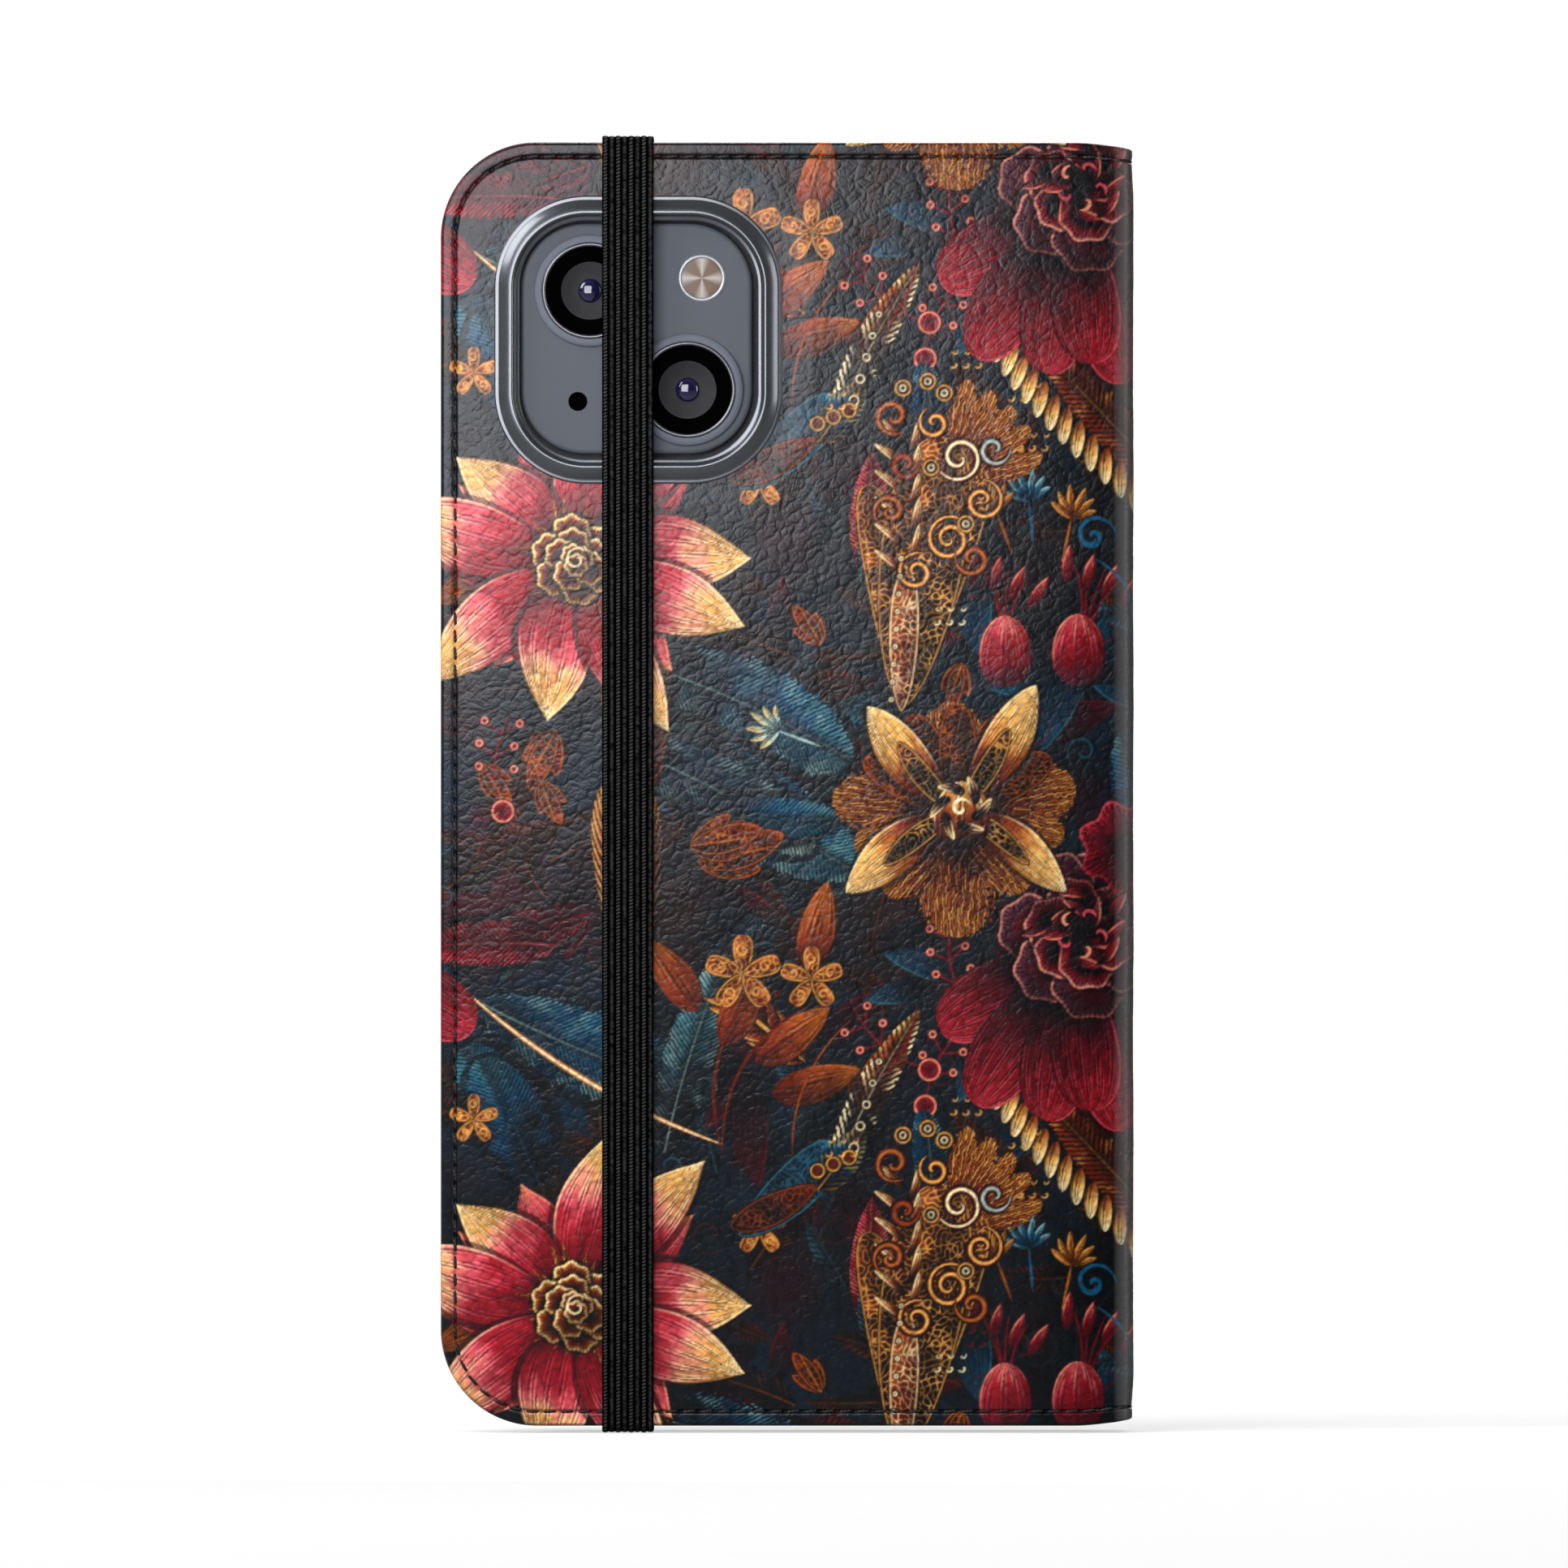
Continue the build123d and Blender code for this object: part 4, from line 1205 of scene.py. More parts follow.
def folded_sheet(name, fold, span, shape, step, material, relief, colour=None, window=None):
    """The part of a sheet that spans two distances along its path. shape is the inset of its rolled edge,
    its thickness and how far it is tucked in behind. step is the mesh's fine and usual spacing. relief
    gives the face's height and colour the print, at places on the unbent sheet. window is the size and
    corner of the camera's opening."""
    (low, high), (inset, thick, tuck), (fine, usual) = span, shape, step
    first_half = low == 0
    columns = fold_columns(low, high, fine, usual, first_half or not colour, not first_half)
    radius = fold.corner - inset
    rows = cover_rows(fold, radius, round(fold.corner / usual * 1.3), usual)
    pull = corner_pull(fold, rows, radius)[:, None] + inset
    cover_end = fold.cover if first_half else fold.length - fold.cover
    outer_end = low if first_half else high
    pulled = np.clip(1 - (columns - outer_end) / (cover_end - outer_end), 0, 1)
    a = columns + pull * pulled * (1 if first_half else -1)
    rise = np.broadcast_to(rows[:, None], a.shape)
    quads = grid_quads(*a.shape)
    if window:
        keep, a, rise = cut_window(fold, a, rise, window, 0.6 * usual)
        quads = quads[keep.ravel()[quads].all(axis=1)]
    height = relief(fold, a, rise)
    grid = fold.points(a, rise, height)

    starts = np.arange(a.shape[0]) * a.shape[1]
    across = np.arange(a.shape[1])
    if first_half:
        loop = np.concatenate([across[::-1], starts[1:], across[1:] + starts[-1]])
    else:
        loop = np.concatenate([across, starts[1:] + across[-1], across[::-1][1:] + starts[-1]])
    loop_a, loop_rise = a.ravel()[loop], rise.ravel()[loop]
    normal_a, normal_z = outline_normals(fold, loop_a, loop_rise)
    out, down, travel = edge_profile(inset, thick, tuck)
    strip_a, strip_rise = loop_a + normal_a * out, loop_rise + normal_z * out
    lift = down + height.ravel()[loop] * np.maximum(1 - travel, 0)
    strip = fold.points(strip_a, strip_rise, lift, loop_rise)
    ring = np.concatenate([loop[None, :], len(grid) + np.arange(strip_a.size).reshape(strip_a.shape)])
    sides = [ring[:-1, :-1], ring[:-1, 1:], ring[1:, 1:], ring[1:, :-1]]
    strip_quads = np.stack([side.ravel() for side in sides], axis=1)[:, :: 1 if first_half else -1]

    points = np.concatenate([grid, strip])
    flat_a = np.concatenate([a.ravel(), (loop_a + normal_a * travel).ravel()])
    flat_rise = np.concatenate([rise.ravel(), (loop_rise + normal_z * travel).ravel()])
    all_quads = np.concatenate([quads, strip_quads])[:, :: fold.facing]
    used = np.zeros(len(points), bool)
    used[all_quads.ravel()] = True
    all_quads = (np.cumsum(used) - 1)[all_quads]
    places = xyz(flat_a, flat_rise + HEIGHT / 2, 0)[used]
    colours = colour(places) if colour else None
    return mesh_piece(name, points[used], all_quads, material, colours=colours, flat=places * MM)


def seam_points(fold, low, high, inset):
    """The stitches of a sheet's seam between two distances along its path: distance, rise and direction."""
    radius = fold.corner - inset
    quarter = radius * math.pi / 2
    count = int((fold.side + quarter + fold.middle - fold.corner) / STITCH_PITCH)
    places = []
    for i in range(count):
        s = (i + 0.5) * STITCH_PITCH
        if s < fold.side:
            a, rise, turn = inset, s, math.pi / 2
        elif s < fold.side + quarter:
            angle = (s - fold.side) / radius
            a, rise = fold.corner - radius * math.cos(angle), fold.side + radius * math.sin(angle)
            turn = math.pi / 2 - angle
        else:
            a, rise, turn = fold.corner + s - fold.side - quarter, fold.half - inset, 0.0
        for up in (1, -1):
            places.append((a, up * rise, up * turn))
            places.append((fold.length - a, up * rise, up * (math.pi - turn)))
    places = np.array(places)
    return places[(places[:, 0] >= low) & (places[:, 0] < high)]


def stitches(name, fold, places, sink, material, length=1.7, width=0.42, depth=0.3):
    """One piece of thread for each stitch: a rounded bar whose ends dip into the needle holes."""
    around, steps = 8, 9
    t = np.linspace(-1, 1, steps)[:, None]
    angle = np.linspace(0, 2 * math.pi, around, endpoint=False)
    fat = np.sqrt(np.clip(1 - t**6, 0.04, 1)) * (0.85 + 0.15 * np.cos(3 * math.pi * t))
    along, across, lift = xyz(
        t * length / 2, fat * np.cos(angle) * width / 2, fat * np.sin(angle) * depth / 2 - 0.3 * t**4
    ).T
    a, rise, turn = places.T[:, :, None]
    slant = turn + 0.10
    c, s = np.cos(slant), np.sin(slant)
    points = fold.points(a + along * c - across * s, rise + along * s + across * c, lift - sink)
    ends = np.array([[0, 7, 6, 1], [1, 6, 5, 2], [2, 5, 4, 3]])
    caps = np.concatenate([ends, (ends + (steps - 1) * around)[:, ::-1]])
    one = np.concatenate([grid_quads(steps, around, wrap_columns=True), caps])
    quads = (one[None] + (np.arange(len(places)) * steps * around)[:, None, None]).reshape(-1, 4)
    return mesh_piece(name, points, quads, material)


# ------------------------------------------------------------------------------------ the leather
EDGE_ROLL, TURN_IN = 0.4, 6.0
SEAM_GROOVE, NEEDLE_HOLE, PANEL_PAD, STITCH_SINK = 0.27, 0.15, 0.16, 0.14
PEBBLE_DEPTH = 0.037
CREASE_SHADE = 0.44
PRINT_REPEAT = 90.2
PRINT_DENSITY = 10
BACK_STEP, FRONT_STEP = (0.1, 0.155), (0.14, 0.24)


def cells(u, v, seeds):
    """How far inside its cell a place is, from 0 at the cell's edge, for cells of about 1 across."""
    column, row = np.floor(u).astype(int), np.floor(v).astype(int)
    first, second = np.full(u.shape, 9.0), np.full(u.shape, 9.0)
    for up in (-1, 0, 1):
        for right in (-1, 0, 1):
            seed = seeds[(row + up) % len(seeds), (column + right) % len(seeds)]
            gap = np.hypot(column + right + seed[..., 0] - u, row + up + seed[..., 1] - v)
            second = np.minimum(second, np.maximum(first, gap))
            first = np.minimum(first, gap)
    return second - first


def pebbles(a, rise):
    """The grain of the leather, from 0 in its creases to 1 on its pebbles, which lean up to the right."""
    u, v = 0.87 * a + 0.50 * rise, -0.50 * a + 0.87 * rise
    bent_u = u + 0.20 * np.sin(1.9 * v + 1.4 * np.sin(0.83 * u)) + 0.07 * np.sin(4.7 * v + 2.1 * u)
    bent_v = v + 0.17 * np.sin(1.7 * u + 1.2 * np.sin(0.91 * v)) + 0.06 * np.sin(5.3 * u - 1.9 * v)
    seeds = np.random.default_rng(5).uniform(0.12, 0.88, (97, 97, 2))
    deep = smooth(-0.05, 0.36, cells(bent_u / 2.1, bent_v / 1.2, seeds))
    broken = np.sin(1.3 * u + 1.2 * np.sin(0.9 * v)) * np.sin(1.1 * v + 1.4 * np.sin(0.8 * u))
    strong = 0.5 + 0.5 * smooth(-0.6, 0.5, broken)
    return 1 - strong * (1 - deep)


def print_lookup(art):
    """A function that gives the print's linear colour at places on the sheet, darker in its creases with
    painted shade.
    """
    grid = linear(art.colour)

    def colour(places):
        a, height, _ = places.T
        crease = pebbles(a, height - HEIGHT / 2)
        # Painted shade in the creases of the modelled pebble grain.
        shade = 1 - CREASE_SHADE + CREASE_SHADE * crease
        return sample(grid, height * art.density - 0.5, a * art.density - 0.5) * shade[:, None]

    return colour


def ripple(a, rise):
    """Slow unevenness of stretched leather, a few hundredths of a millimetre."""
    one = np.sin(0.31 * a + 0.6 * np.sin(0.17 * rise)) * np.sin(0.23 * rise + 0.8 * np.sin(0.13 * a))
    two = np.sin(0.83 * a - 0.71 * rise + 1.3 * np.sin(0.29 * a + 0.37 * rise))
    return 0.035 * one + 0.012 * two


def seam_relief(gap, seam, clear):
    """The height of a cover's face near its edge: the turned edge, the groove with its needle holes and the
    padded panel, which lies flat where clear is 0."""
    hole = 0.5 + 0.5 * np.cos(2 * math.pi * seam / STITCH_PITCH)
    groove = bell(gap, STITCH_INSET, 0.19) * (SEAM_GROOVE + NEEDLE_HOLE * hole**3)
    wide = 0.05 * bell(gap, STITCH_INSET, 0.8) * (0.6 + 0.4 * hole)
    return 0.03 * bell(gap, 1.0, 0.5) - groove - wide + PANEL_PAD * smooth(2.0, 7.0, gap) * clear


def leather_relief(fold, a, rise):
    """The height of the covers' printed face, which sinks a little where it starts to bend."""
    gap, seam = edge_distance(fold, a, rise)
    near_window = window_distance(fold.at(a)[0], rise + MID_Z, BEZEL_SIZE, BEZEL_CORNER)
    clear = np.where(a < fold.cover, smooth(0.0, 4.0, near_window), 1.0)
    height = seam_relief(gap, seam, clear) - 0.03 * bell(fold.mirrored(a), fold.cover - 1.4, 1.2)
    height = height + ripple(a, rise) * smooth(2.2, 5.0, gap) * clear
    return height + PEBBLE_DEPTH * (pebbles(a, rise) - 1) * smooth(1.9, 2.6, gap)


def make_leather():
    """The printed sheet, split at the middle of the spine, with its seam."""
    sheet = Fold(0.0, 0.0, 0.0, FOLD_RADIUS)
    colour = print_lookup(paint_print(sheet.middle, PRINT_REPEAT, PRINT_DENSITY))
    leather = leather_material(sheet.middle, sheet.cover)
    thread = thread_material()
    shape = (EDGE_ROLL, COVER_THICK, TURN_IN)
    window = (BEZEL_SIZE - 0.5, BEZEL_CORNER - 0.25)
    for side, span, bend, step, opening, nodes in [
        ("back", *halves(sheet)[0], BACK_STEP, window, ("back_skin", "fold_roll_back", "spine_skin")),
        ("front", *halves(sheet)[1], FRONT_STEP, None, ("front_skin", "fold_roll_front")),
    ]:
        skin = folded_sheet(
            "leather_" + side, sheet, span, shape, step, leather, leather_relief, colour, opening
        )
        attach(skin, bend, "printed_leather", *nodes)
    for side, span, bend, nodes in [
        ("back", *halves(sheet)[0], ("back_stitching", "spine_stitching")),
        ("front", *halves(sheet)[1], ("front_stitching",)),
    ]:
        seam = stitches("seam_" + side, sheet, seam_points(sheet, *span, STITCH_INSET), STITCH_SINK, thread)
        attach(seam, bend, "thread", *nodes)


def make_fold_insides():
    """The plain inner side of the leather, which shows inside the folds when the case is open."""
    thick, reach, rows, columns = 0.35, 3.5, 80, 70
    sheet = Fold(thick, thick, thick, FOLD_RADIUS - thick, margin=0.3, facing=-1)
    plain = plain_leather_material("fold_inside", "#1a1a1d")
    rise = np.linspace(-sheet.half, sheet.half, rows)[:, None]
    for name, low, high, bend in (
        ("fold_inside_back", sheet.cover - reach, sheet.middle, bend_back),
        ("fold_inside_front", sheet.middle, sheet.length - sheet.cover + reach, bend_front),
    ):
        a = np.linspace(low, high, columns)
        points = sheet.points(a, rise)
        flat = xyz(a, points[:, 2].reshape(rows, columns), 0) * MM
        piece = mesh_piece(name, points, grid_quads(rows, columns)[:, ::-1], plain, flat=flat)
        attach(piece, bend, "lining")


def halves(sheet):
    """The span and the bend of a sheet's back and front part, which meet in the middle of the spine."""
    return [((0, sheet.middle), bend_back), ((sheet.middle, sheet.length), bend_front)]


def attach(piece, follow, slot, *nodes):
    """Hands the piece to follow, and hides these CAD nodes, which it stands for. slot is not used."""
    follow(piece)
    if nodes:
        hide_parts(*nodes)


def ride_front(piece):
    """The piece stays on the front cover."""
    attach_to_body(piece, "front")


def bend_back(piece):
    """For the back cover and the back half of the spine: bakes the piece's transform into its mesh."""
    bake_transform(piece)


def bend_front(piece):
    """For the front cover and the front half of the spine: bakes the piece's transform into its mesh."""
    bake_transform(piece)


# ------------------------------------------------------------------------------------ the lining
LINING_RADIUS, LINING_TURN_IN, LINING_STEP = 0.9, 1.0, (0.3, 0.9)


def lining_relief(fold, a, rise):
    """Microfibre with a soft edge that lies on the turned leather."""
    gap, _ = edge_distance(fold, a, rise)
    return -0.15 * bell(gap, 0, 0.5) + 0.4 * ripple(a, rise)


def make_lining():
    """The microfibre inside both covers and the spine, split at the middle of the spine."""
    inset = lining_high[1] - BACK_FACE
    spine_inset = SPINE_FACE - cad_mm("spine_lining")[0][0]
    margin = lining_low[0] - FREE_EDGE
    sheet = Fold(inset, spine_inset, inset, LINING_RADIUS, margin=margin, facing=-1)
    thick = lining_high[1] - lining_low[1]
    shape = (thick / 2, thick, LINING_TURN_IN)
    suede = suede_material()
    for side, span, bend, nodes in [
        ("back", *halves(sheet)[0], ("back_lining", "spine_lining")),
        ("front", *halves(sheet)[1], ("front_lining",)),
    ]:
        piece = folded_sheet("lining_" + side, sheet, span, shape, LINING_STEP, suede, lining_relief)
        attach(piece, bend, "lining", *nodes)


# ------------------------------------------------------------------------------------ the pockets
MOUTH_SEAM, POCKET_SEAM = 1.7, 1.3
POCKET_RADIUS, POCKET_ROLL, POCKET_TURN_IN, POCKET_STEP = 1.0, 0.25, 0.8, (0.1, 0.8)


def pocket_relief(mouth):
    """The face of a pocket sheet: grooves along its seams, a swell where a card lies, and a rolled mouth."""

    def relief(fold, a, rise):
        gap, _ = edge_distance(fold, a, rise)
        to_mouth = a - mouth
        card = smooth(3.0, 6.0, gap) * smooth(0.0, 5.0, to_mouth)
        seams = bell(gap, POCKET_SEAM, 0.3) + bell(to_mouth, MOUTH_SEAM, 0.3)
        height = 0.10 * card - 0.12 * seams + 0.07 * bell(to_mouth, 0.8, 0.45)
        roll = np.clip(1 - to_mouth / 0.3, 0, 1)
        drop = 1 - np.sqrt(np.clip(1 - roll**2, 0, 1)) + (to_mouth < 1e-6)
        return height - POCKET_ROLL * drop

    return relief


def make_pockets():
    """The cash pocket and the card pockets, each with stitched mouth and edges, on the front cover."""
    leather = plain_leather_material("pocket_leather", "#1d1d20")
    thread = thread_material()
    bars = []
    outer = None
    for node in ("card_pocket_3", "card_pocket_2", "card_pocket_1", "cash_pocket"):
        low, high = cad_mm(node)
        face = FRONT_FACE - low[1]
        sheet = Fold(face, face, face, POCKET_RADIUS, margin=low[0] - FREE_EDGE, facing=-1)
        mouth = sheet.length - (high[0] - low[0])
        span, shape = (mouth, sheet.length), (POCKET_ROLL, high[1] - low[1], POCKET_TURN_IN)
        relief = pocket_relief(mouth)
        piece = folded_sheet(node + "_leather", sheet, span, shape, POCKET_STEP, leather, relief)
        attach(piece, ride_front, "pocket_leather", node)
        edge = seam_points(sheet, mouth + 0.8, outer or sheet.length, POCKET_SEAM)
        lip = xyz(mouth + MOUTH_SEAM, np.arange(-sheet.half + 3, sheet.half - 3, STITCH_PITCH), math.pi / 2)
        places = np.concatenate([edge, lip])
        bars.append(stitches("seam_" + node, sheet, places, 0.1, thread, length=1.6, width=0.36, depth=0.26))
        outer = mouth
    seam = bars[0]
    bpy.ops.object.select_all(action="DESELECT")
    for bar in bars:
        bar.select_set(True)
    bpy.context.view_layer.objects.active = seam
    bpy.ops.object.join()
    seam.name = "pocket_seams"
    attach(seam, ride_front, "thread", "pocket_stitching")


# ------------------------------------------------------------------------------------ the camera bezel
def make_bezel():
    """The glossy ring round the camera window: a thin flange, a broad bevel and a step down inside."""
    deep, proud = BACK_FACE - bezel_high[1], BACK_FACE - bezel_low[1]
    outer = (BEZEL_SIZE - WINDOW_SIZE) / 2
    lip, neck = -0.22, outer - 0.35
    crest, foot, valley = 0.75, 2.25, 0.25
    rise = proud - valley
    profile = [
        (0.05, deep), (lip, deep), (lip, 0.06), (lip + 0.06, 0.12), (lip + 0.28, 0.18), (lip + 0.54, 0.25),
    ]
    for t in np.linspace(0.1, math.pi / 2, 6):
        profile.append((crest - 0.42 * math.cos(t), valley + rise * math.sin(t)))
    for t in np.linspace(0.1, 1, 9):
        profile.append((crest + (foot - crest) * t, proud - rise * t**1.6))
    profile += [
        (foot + 0.12, valley - 0.01), (outer - 0.10, valley - 0.03), (outer, 0.1), (outer, 0.0), (neck, 0.0),
        (neck, deep), (0.05, deep),
    ]
    loop = rounded_loop(WINDOW_SIZE, WINDOW_SIZE, WINDOW_CORNER, 0.3)
    place = (CAMERA_X, BACK_FACE, CAMERA_Z)
    ring = swept_ring("bezel_ring", loop, smooth_profile(profile)[:-1], place, bezel_material(), closed=True)
    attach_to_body(ring, "back")
    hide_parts("camera_bezel")


# ------------------------------------------------------------------------------------ the elastic strap
BEAD_PITCH = 0.41


def rounded_path(corners, radii, spacing):
    """Points, directions and distances along straight runs joined by arcs."""
    corners = [np.array(corner, float) for corner in corners]
    points = [corners[0]]
    for before, here, after, radius in zip(corners[:-2], corners[1:-1], corners[2:], radii):
        a, b = (before - here) / np.linalg.norm(before - here), (after - here) / np.linalg.norm(after - here)
        half = math.acos(np.clip(a @ b, -1, 1)) / 2
        cut = radius / math.tan(half)
        centre = here + (a + b) / np.linalg.norm(a + b) * radius / math.sin(half)
        start, end = here + a * cut - centre, here + b * cut - centre
        sweep = math.pi - 2 * half
        sign = np.sign(start[0] * end[1] - start[1] * end[0])
        for t in np.linspace(0, 1, max(3, round(sweep / 0.12))):
            c, s = math.cos(sign * sweep * t), math.sin(sign * sweep * t)
            points.append(centre + (c * start[0] - s * start[1], s * start[0] + c * start[1]))
    fine, where = evenly(points + [corners[-1]], spacing, 2)
    ahead = np.gradient(fine, axis=0)
    return fine, ahead / np.linalg.norm(ahead, axis=1)[:, None], where


def knitted_face(across, along, rib):
    """The elastic's outer face: every second rib is a cord of slanted beads, and the others are fuzzy yarn.
    Returns heights, and a painted light share: painted highlight on the bead and rib crests, painted shade
    in the grooves."""
    wave = np.abs(np.sin(math.pi * across / rib)) + 0 * along
    cord = np.floor(across / rib - 1e-6) % 2 == 0
    bead = 0.5 + 0.5 * np.cos(2 * math.pi * (along + 0.45 * across) / BEAD_PITCH + 0.7 * np.sin(0.9 * along))
    fuzz = sample(np.random.default_rng(8).uniform(0, 1, (4096, 64)), along / 0.17, across / 0.3)
    knit = np.where(cord, 0.08 + bead * (0.45 + 0.6 * fuzz), 0.14 + 0.42 * fuzz)
    # The second value is painted highlight on crests and painted shade in grooves, mixed with the beads and
    # fuzz.
    return wave**0.7 * (0.05 + 0.13 * knit), smooth(0.3, 0.95, wave) * knit


def make_strap():
    """The ribbed elastic strap, from the front cover's upper edge, down the back and to its lower edge."""
    half, play, tuck = 0.375, 0.05, 11.5
    width, ribs = strap_high[0] - strap_low[0], 8
    middle_x = (strap_low[0] + strap_high[0]) / 2
    end_y = FRONT_FACE - COVER_THICK + half
    upper, lower = TOP + play + half, BASE - play - half
    back_y, crest_y = BACK_FACE - play - half, strap_low[1] + half
    crest = BEZEL_SIZE / 2 - 1.3
    corners = [
        (end_y, TOP - tuck), (end_y, upper), (back_y, upper), (crest_y, CAMERA_Z + crest),
        (crest_y, CAMERA_Z - crest), (back_y, lower), (end_y, lower), (end_y, BASE + tuck),
    ]
    path, ahead, along = rounded_path(corners, [0.5, 0.9, 4.0, 14.0, 0.9, 0.5], 0.1)
    along = along[:, None]
    face_w = np.linspace(-width / 2, width / 2, ribs * 8 + 1)
    face, tip = knitted_face(face_w + width / 2, along, width / ribs)
    reverse_w = np.linspace(width / 2, -width / 2, ribs * 2 + 1)[1:-1]
    reverse = np.full((len(path), len(reverse_w)), 0.08 - half)
    w = np.concatenate([face_w, reverse_w])
    out = np.concatenate([half - 0.15 + face, reverse], axis=1)
    # shown holds the face's painted highlight and painted shade; the reverse gets an even share.
    shown = np.concatenate([tip, 0.3 + 0 * reverse], axis=1)
    y, z = path[:, :1] + ahead[:, 1:] * out, path[:, 1:] - ahead[:, :1] * out
    flat = xyz(w * MM, along * MM, shown)
    quads = grid_quads(len(path), len(w), wrap_columns=True)
    strap = mesh_piece("strap", xyz(middle_x + w, y, z), quads, elastic_material(), flat=flat)
    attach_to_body(strap, "front")
    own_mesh(strap)
    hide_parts("elastic_strap")


# ------------------------------------------------------------------------------------ pieces kept from CAD
def finish_cad_nodes():
    """The tray, its foam tape and the boards keep their CAD shape, and get their own materials."""
    looks = {
        "phone_tray": moulded_material("tray", "#17181a", "#1f2022", 0.42),
        "tray_pad": moulded_material("adhesive", "#3a3a3c", "#474749", 0.8, 0.00003),
    }
    looks |= dict.fromkeys(("back_board", "spine_board", "front_board"), board_material())
    for node, material in looks.items():
        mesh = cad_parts[node].data
        mesh.materials.clear()
        mesh.materials.append(material)
        mesh.shade_smooth()
        mesh.set_sharp_from_angle(angle=math.radians(35))


# ------------------------------------------------------------------------------------ the phone, a prop
PHONE_WIDTH, PHONE_HEIGHT, PHONE_DEPTH, PHONE_CORNER = 71.5, 146.7, 7.8, 11.0
PLATE_SIZE, PLATE_CORNER, PLATE_PROUD = 27.9, 7.7, 3.1
LENS_RADIUS = 6.75


def slab(name, width, height, corner, bevel, place, depth, material):
    """A rounded slab with softened edges. place is its middle, on the face towards -Y."""
    points, normals = rounded_loop(width, height, corner, 0.5)
    half = min(width, height) / 2
    turn = np.linspace(0, math.pi / 2, 6)
    soft = [(bevel * (math.sin(t) - 1), -bevel * (1 - math.cos(t))) for t in turn]
    rim, centre = -bevel - 0.1, 0.1 - half
    backs = [(0.0, 0.1 - depth), (0.0, -depth), (-0.1, -depth), (centre, -depth)]
    out, rise = np.array([(centre, 0.0), (rim, 0.0)] + soft + backs).T
    x, z = (
        np.where(out == centre, points[:, [i]] * 0.1 / half, points[:, [i]] + normals[:, [i]] * out)
        for i in (0, 1)
    )
    quads = grid_quads(len(points), len(out), wrap_rows=True)
    return mesh_piece(name, xyz(x + place[0], place[1] - rise, z + place[2]), quads, material)


def prop_material(name, colour, rough, metallic=0.0, coat=0.0, specular=0.5):
    """A plain finish for the phone."""
    n = Nodes("prop_" + name)
    speck = n.noise(n.place(), 900.0, 3.0)
    return n.finish(
        Base_Color=srgb(colour), Roughness=n.levels(speck, 0.3, 0.7, rough, rough + 0.06), Metallic=metallic,
        Coat_Weight=coat, Coat_Roughness=0.03, Specular_IOR_Level=specular,
    )


def flash_material(place):
    """The lamp's lens: tan quarters that turn silver where they meet."""
    n = Nodes("prop_flash")
    x, _, z = n.split(n.vector("SUBTRACT", n.place(), tuple(v * MM for v in place)))
    product = n.maths("ABSOLUTE", n.maths("MULTIPLY", x, z))
    reach = n.maths("ADD", n.maths("MULTIPLY", x, x), n.maths("MULTIPLY", z, z))
    quarter = n.maths("DIVIDE", product, n.maths("ADD", reach, 1e-9))
    tone = n.blend(n.levels(quarter, 0.02, 0.4), srgb("#9c968f"), srgb("#604e42"))
    return n.finish(Base_Color=tone, Roughness=0.4, Specular_IOR_Level=0.2)


def dome(radius, base, height, points):
    """The profile of a low dome."""
    return [(radius * math.cos(t), base + height * math.sin(t)) for t in np.linspace(0, math.pi / 2, points)]


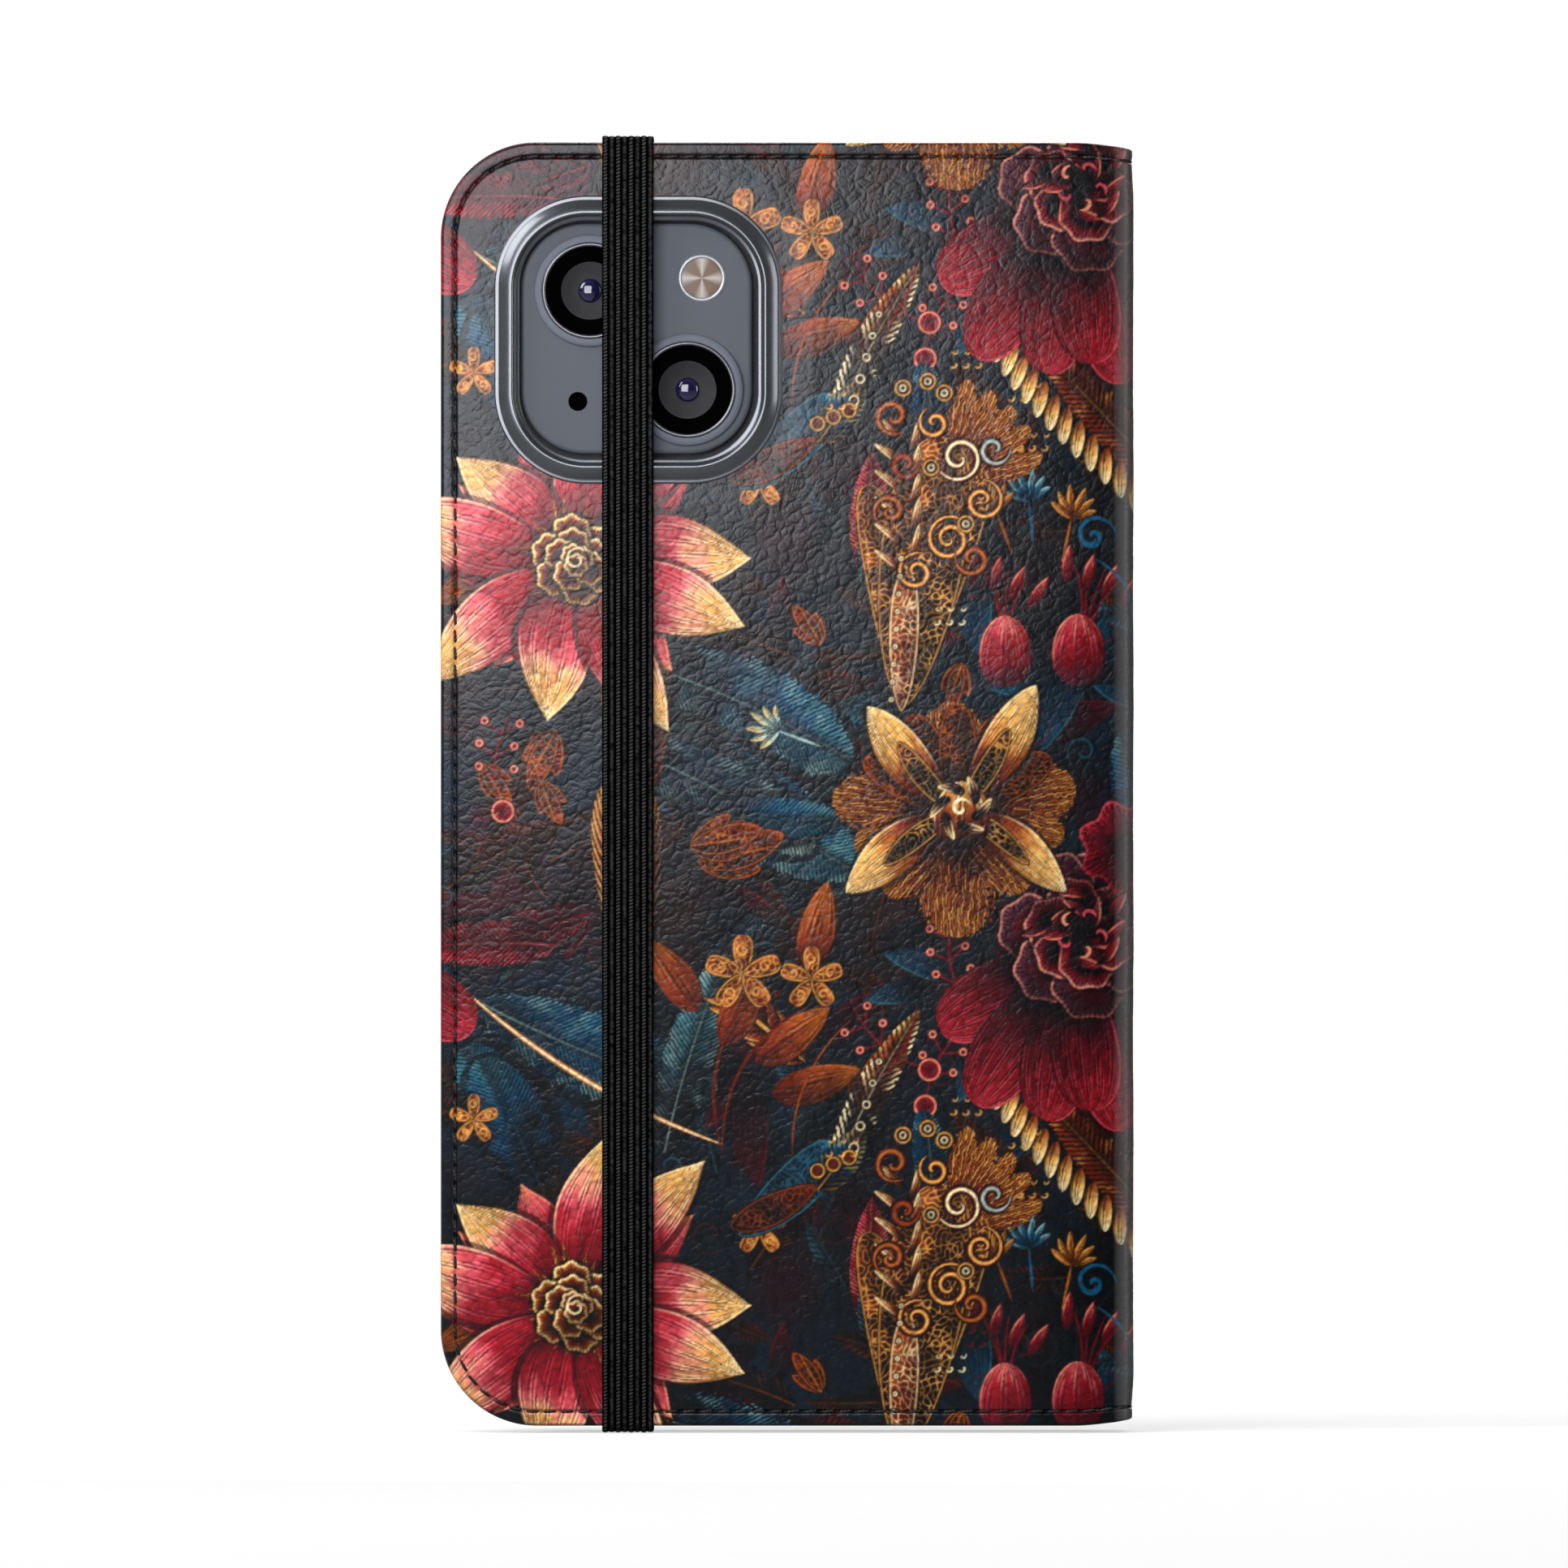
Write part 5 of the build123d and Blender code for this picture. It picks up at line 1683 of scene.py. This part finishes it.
def make_phone():
    """A plain phone in the tray, as a prop that shows what the window and the tray are for."""
    middle_x, _, middle_z = (tray_low + tray_high) / 2
    back_y = cad_mm("tray_pad")[1][1] + 1.3
    face = back_y - PLATE_PROUD
    shell = prop_material("shell", "#5c6067", 0.3, coat=0.1, specular=0.2)
    plate = prop_material("plate", "#484c52", 0.45, specular=0.12)
    slate = prop_material("slate", "#575b65", 0.45, specular=0.12)
    steel = prop_material("steel", "#55555a", 0.25, 0.8)
    black = prop_material("black", "#020202", 0.5, specular=0.0)
    dish = prop_material("dish", "#131315", 0.4, specular=0.12)
    glass = prop_material("glass", "#120f2e", 0.04, specular=0.7)
    screen = prop_material("screen", "#050506", 0.06, coat=1.0)
    silver = prop_material("silver", "#86898e", 0.35, 0.6)
    props = [
        slab("prop_body", PHONE_WIDTH, PHONE_HEIGHT, PHONE_CORNER, 1.2, (middle_x, back_y, middle_z),
             PHONE_DEPTH - 0.2, shell),
        slab("prop_screen", PHONE_WIDTH - 2.6, PHONE_HEIGHT - 2.6, PHONE_CORNER - 1.3, 0.1,
             (middle_x, back_y + PHONE_DEPTH - 0.6, middle_z), 0.45, screen),
        slab("prop_plate", PLATE_SIZE, PLATE_SIZE, PLATE_CORNER, 0.5,
             (CAMERA_X - 0.2, face, CAMERA_Z + 0.15), PLATE_PROUD, plate),
    ]
    r = LENS_RADIUS
    lens = {
        "ring": ([(r + 0.1, -0.3), (r, 0.35), (r - 0.15, 0.5), (r - 0.8, 0.55), (r - 0.95, 0.5)], slate),
        "rim": ([(5.85, 0.55), (5.75, 0.72), (5.5, 0.74), (5.35, 0.6), (5.3, 0.2)], steel),
        "well": ([(5.35, 0.62), (5.2, 0.55), (3.6, 0.3), (3.5, 0.25)], black),
        "cup": ([(3.5, 0.26), (2.6, 0.16), (1.7, 0.10), (1.4, 0.10)], dish),
        "eye": (dome(1.45, 0.08, 0.75, 12), glass),
    }
    for i, at in enumerate([(-23.72, face, TOP - 17.93), (-11.96, face, TOP - 29.89)]):
        props += [turned(f"prop_{part}_{i}", profile, at, look) for part, (profile, look) in lens.items()]
    lamp, hole = (-10.2, face, TOP - 16.4), (-25.2, face, TOP - 31.3)
    props += [
        turned("prop_lamp_ring", [(2.95, -0.1), (2.85, 0.12), (2.5, 0.16), (2.4, 0.05)], lamp, silver),
        turned("prop_lamp", dome(2.42, 0.04, 0.12, 8), lamp, flash_material(lamp)),
        turned("prop_hole", [(1.15, 0.0), (1.1, 0.03), (0.9, 0.01), (0.0, 0.01)], hole, black),
    ]


# ------------------------------------------------------------------------------------ the studio
VIEW_WIDTH = 189.3
VIEW_DISTANCE = 3200.0
WORLD_FRONT, WORLD_BACK = 0.02, 0.45
WHITE = (1, 1, 1, 1)


def make_floor():
    """A wide white floor, softly shaded near the case and plain white far away."""
    n = Nodes("floor")
    place = n.place()
    far = n.levels(n.vector("LENGTH", place, output=1), 0.15, 1.2, 0.55, 1.0)
    seen = n.add("LightPath", output="Is Camera Ray")
    tone = n.blend(n.noise(place, 300.0, 2.0), srgb("#f2f2f2"), srgb("#ffffff"))
    n.finish(Base_Color=n.blend(seen, (0.3, 0.3, 0.3, 1), tone), Roughness=0.9)
    glow = n.add("Emission", {"Color": WHITE, "Strength": 1.0})
    both = {0: n.maths("MULTIPLY", far, seen), 1: n.surface.outputs[0], 2: glow}
    n.fill(n.tree.nodes["Material Output"], {0: n.add("MixShader", both)})
    size = 60.0 / MM
    corners = [(-size, -size, -0.05), (size, -size, -0.05), (size, size, -0.05), (-size, size, -0.05)]
    mesh_piece("floor", corners, [[0, 1, 2, 3]], n.owner, smooth_faces=False)


def area_light(name, place, target, size, power, tint=(1, 1, 1)):
    """A soft box that faces a point."""
    lamp = bpy.data.lights.new(name, "AREA")
    lamp.shape = "RECTANGLE"
    lamp.size, lamp.size_y = size
    lamp.energy, lamp.color = power, tint
    rig = bpy.data.objects.new(name, lamp)
    bpy.context.scene.collection.objects.link(rig)
    rig.location = place
    rig.visible_camera = False
    rig.rotation_euler = (Vector(target) - Vector(place)).to_track_quat("-Z", "Y").to_euler()


def make_world():
    """A surround that the camera sees as plain white. It lights the case from behind and beside it, and is
    dark in front of it, so that gloss stays deep."""
    world = bpy.data.worlds.new("studio")
    bpy.context.scene.world = world
    n = Nodes(world)
    ahead = n.split(n.add("TexCoord", output="Generated"))["Y"]
    strength = n.levels(ahead, -0.9, 0.3, WORLD_FRONT, WORLD_BACK)
    soft = n.tree.nodes["Background"]
    n.fill(soft, {"Color": WHITE, "Strength": strength})
    plain = n.add("Background", {"Color": WHITE, "Strength": 1.05})
    seen = n.add("LightPath", output="Is Camera Ray")
    both = n.add("MixShader", {0: seen, 1: soft.outputs[0], 2: plain})
    n.fill(n.tree.nodes["World Output"], {0: both})


def make_studio():
    """Floor, surround, soft boxes and the camera, square on to the back cover."""
    make_floor()
    make_world()
    middle = (0.0, 0.0, MID_Z * MM)
    area_light("key", (-0.85, -0.42, 0.75), middle, (0.5, 0.7), 11.0)
    area_light("low_key", (-0.60, -0.95, 0.35), middle, (0.35, 0.9), 0.7)
    area_light("fill", (1.0, -0.35, 0.10), middle, (0.3, 0.9), 4.8)
    area_light("haze", (-0.068, -0.20, 0.162), (-0.03, 0.0, 0.13), (0.14, 0.14), 0.58, (0.97, 0.96, 1.0))
    area_light("behind", (0.35, 1.1, 0.7), middle, (0.8, 0.8), 10.0)
    camera = bpy.data.cameras.new("camera")
    camera.sensor_width = 36.0
    camera.lens = camera.sensor_width * VIEW_DISTANCE / VIEW_WIDTH
    camera.clip_end = 100.0
    rig = bpy.data.objects.new("camera", camera)
    bpy.context.scene.collection.objects.link(rig)
    rig.location = (-0.0003, (BACK_FACE - VIEW_DISTANCE) * MM, MID_Z * MM)
    rig.rotation_euler = (math.pi / 2, 0, 0)
    bpy.context.scene.camera = rig
    bpy.context.scene.view_settings.view_transform = "Standard"


make_leather()
make_fold_insides()
make_lining()
make_pockets()
make_bezel()
make_strap()
finish_cad_nodes()
make_phone()
make_studio()
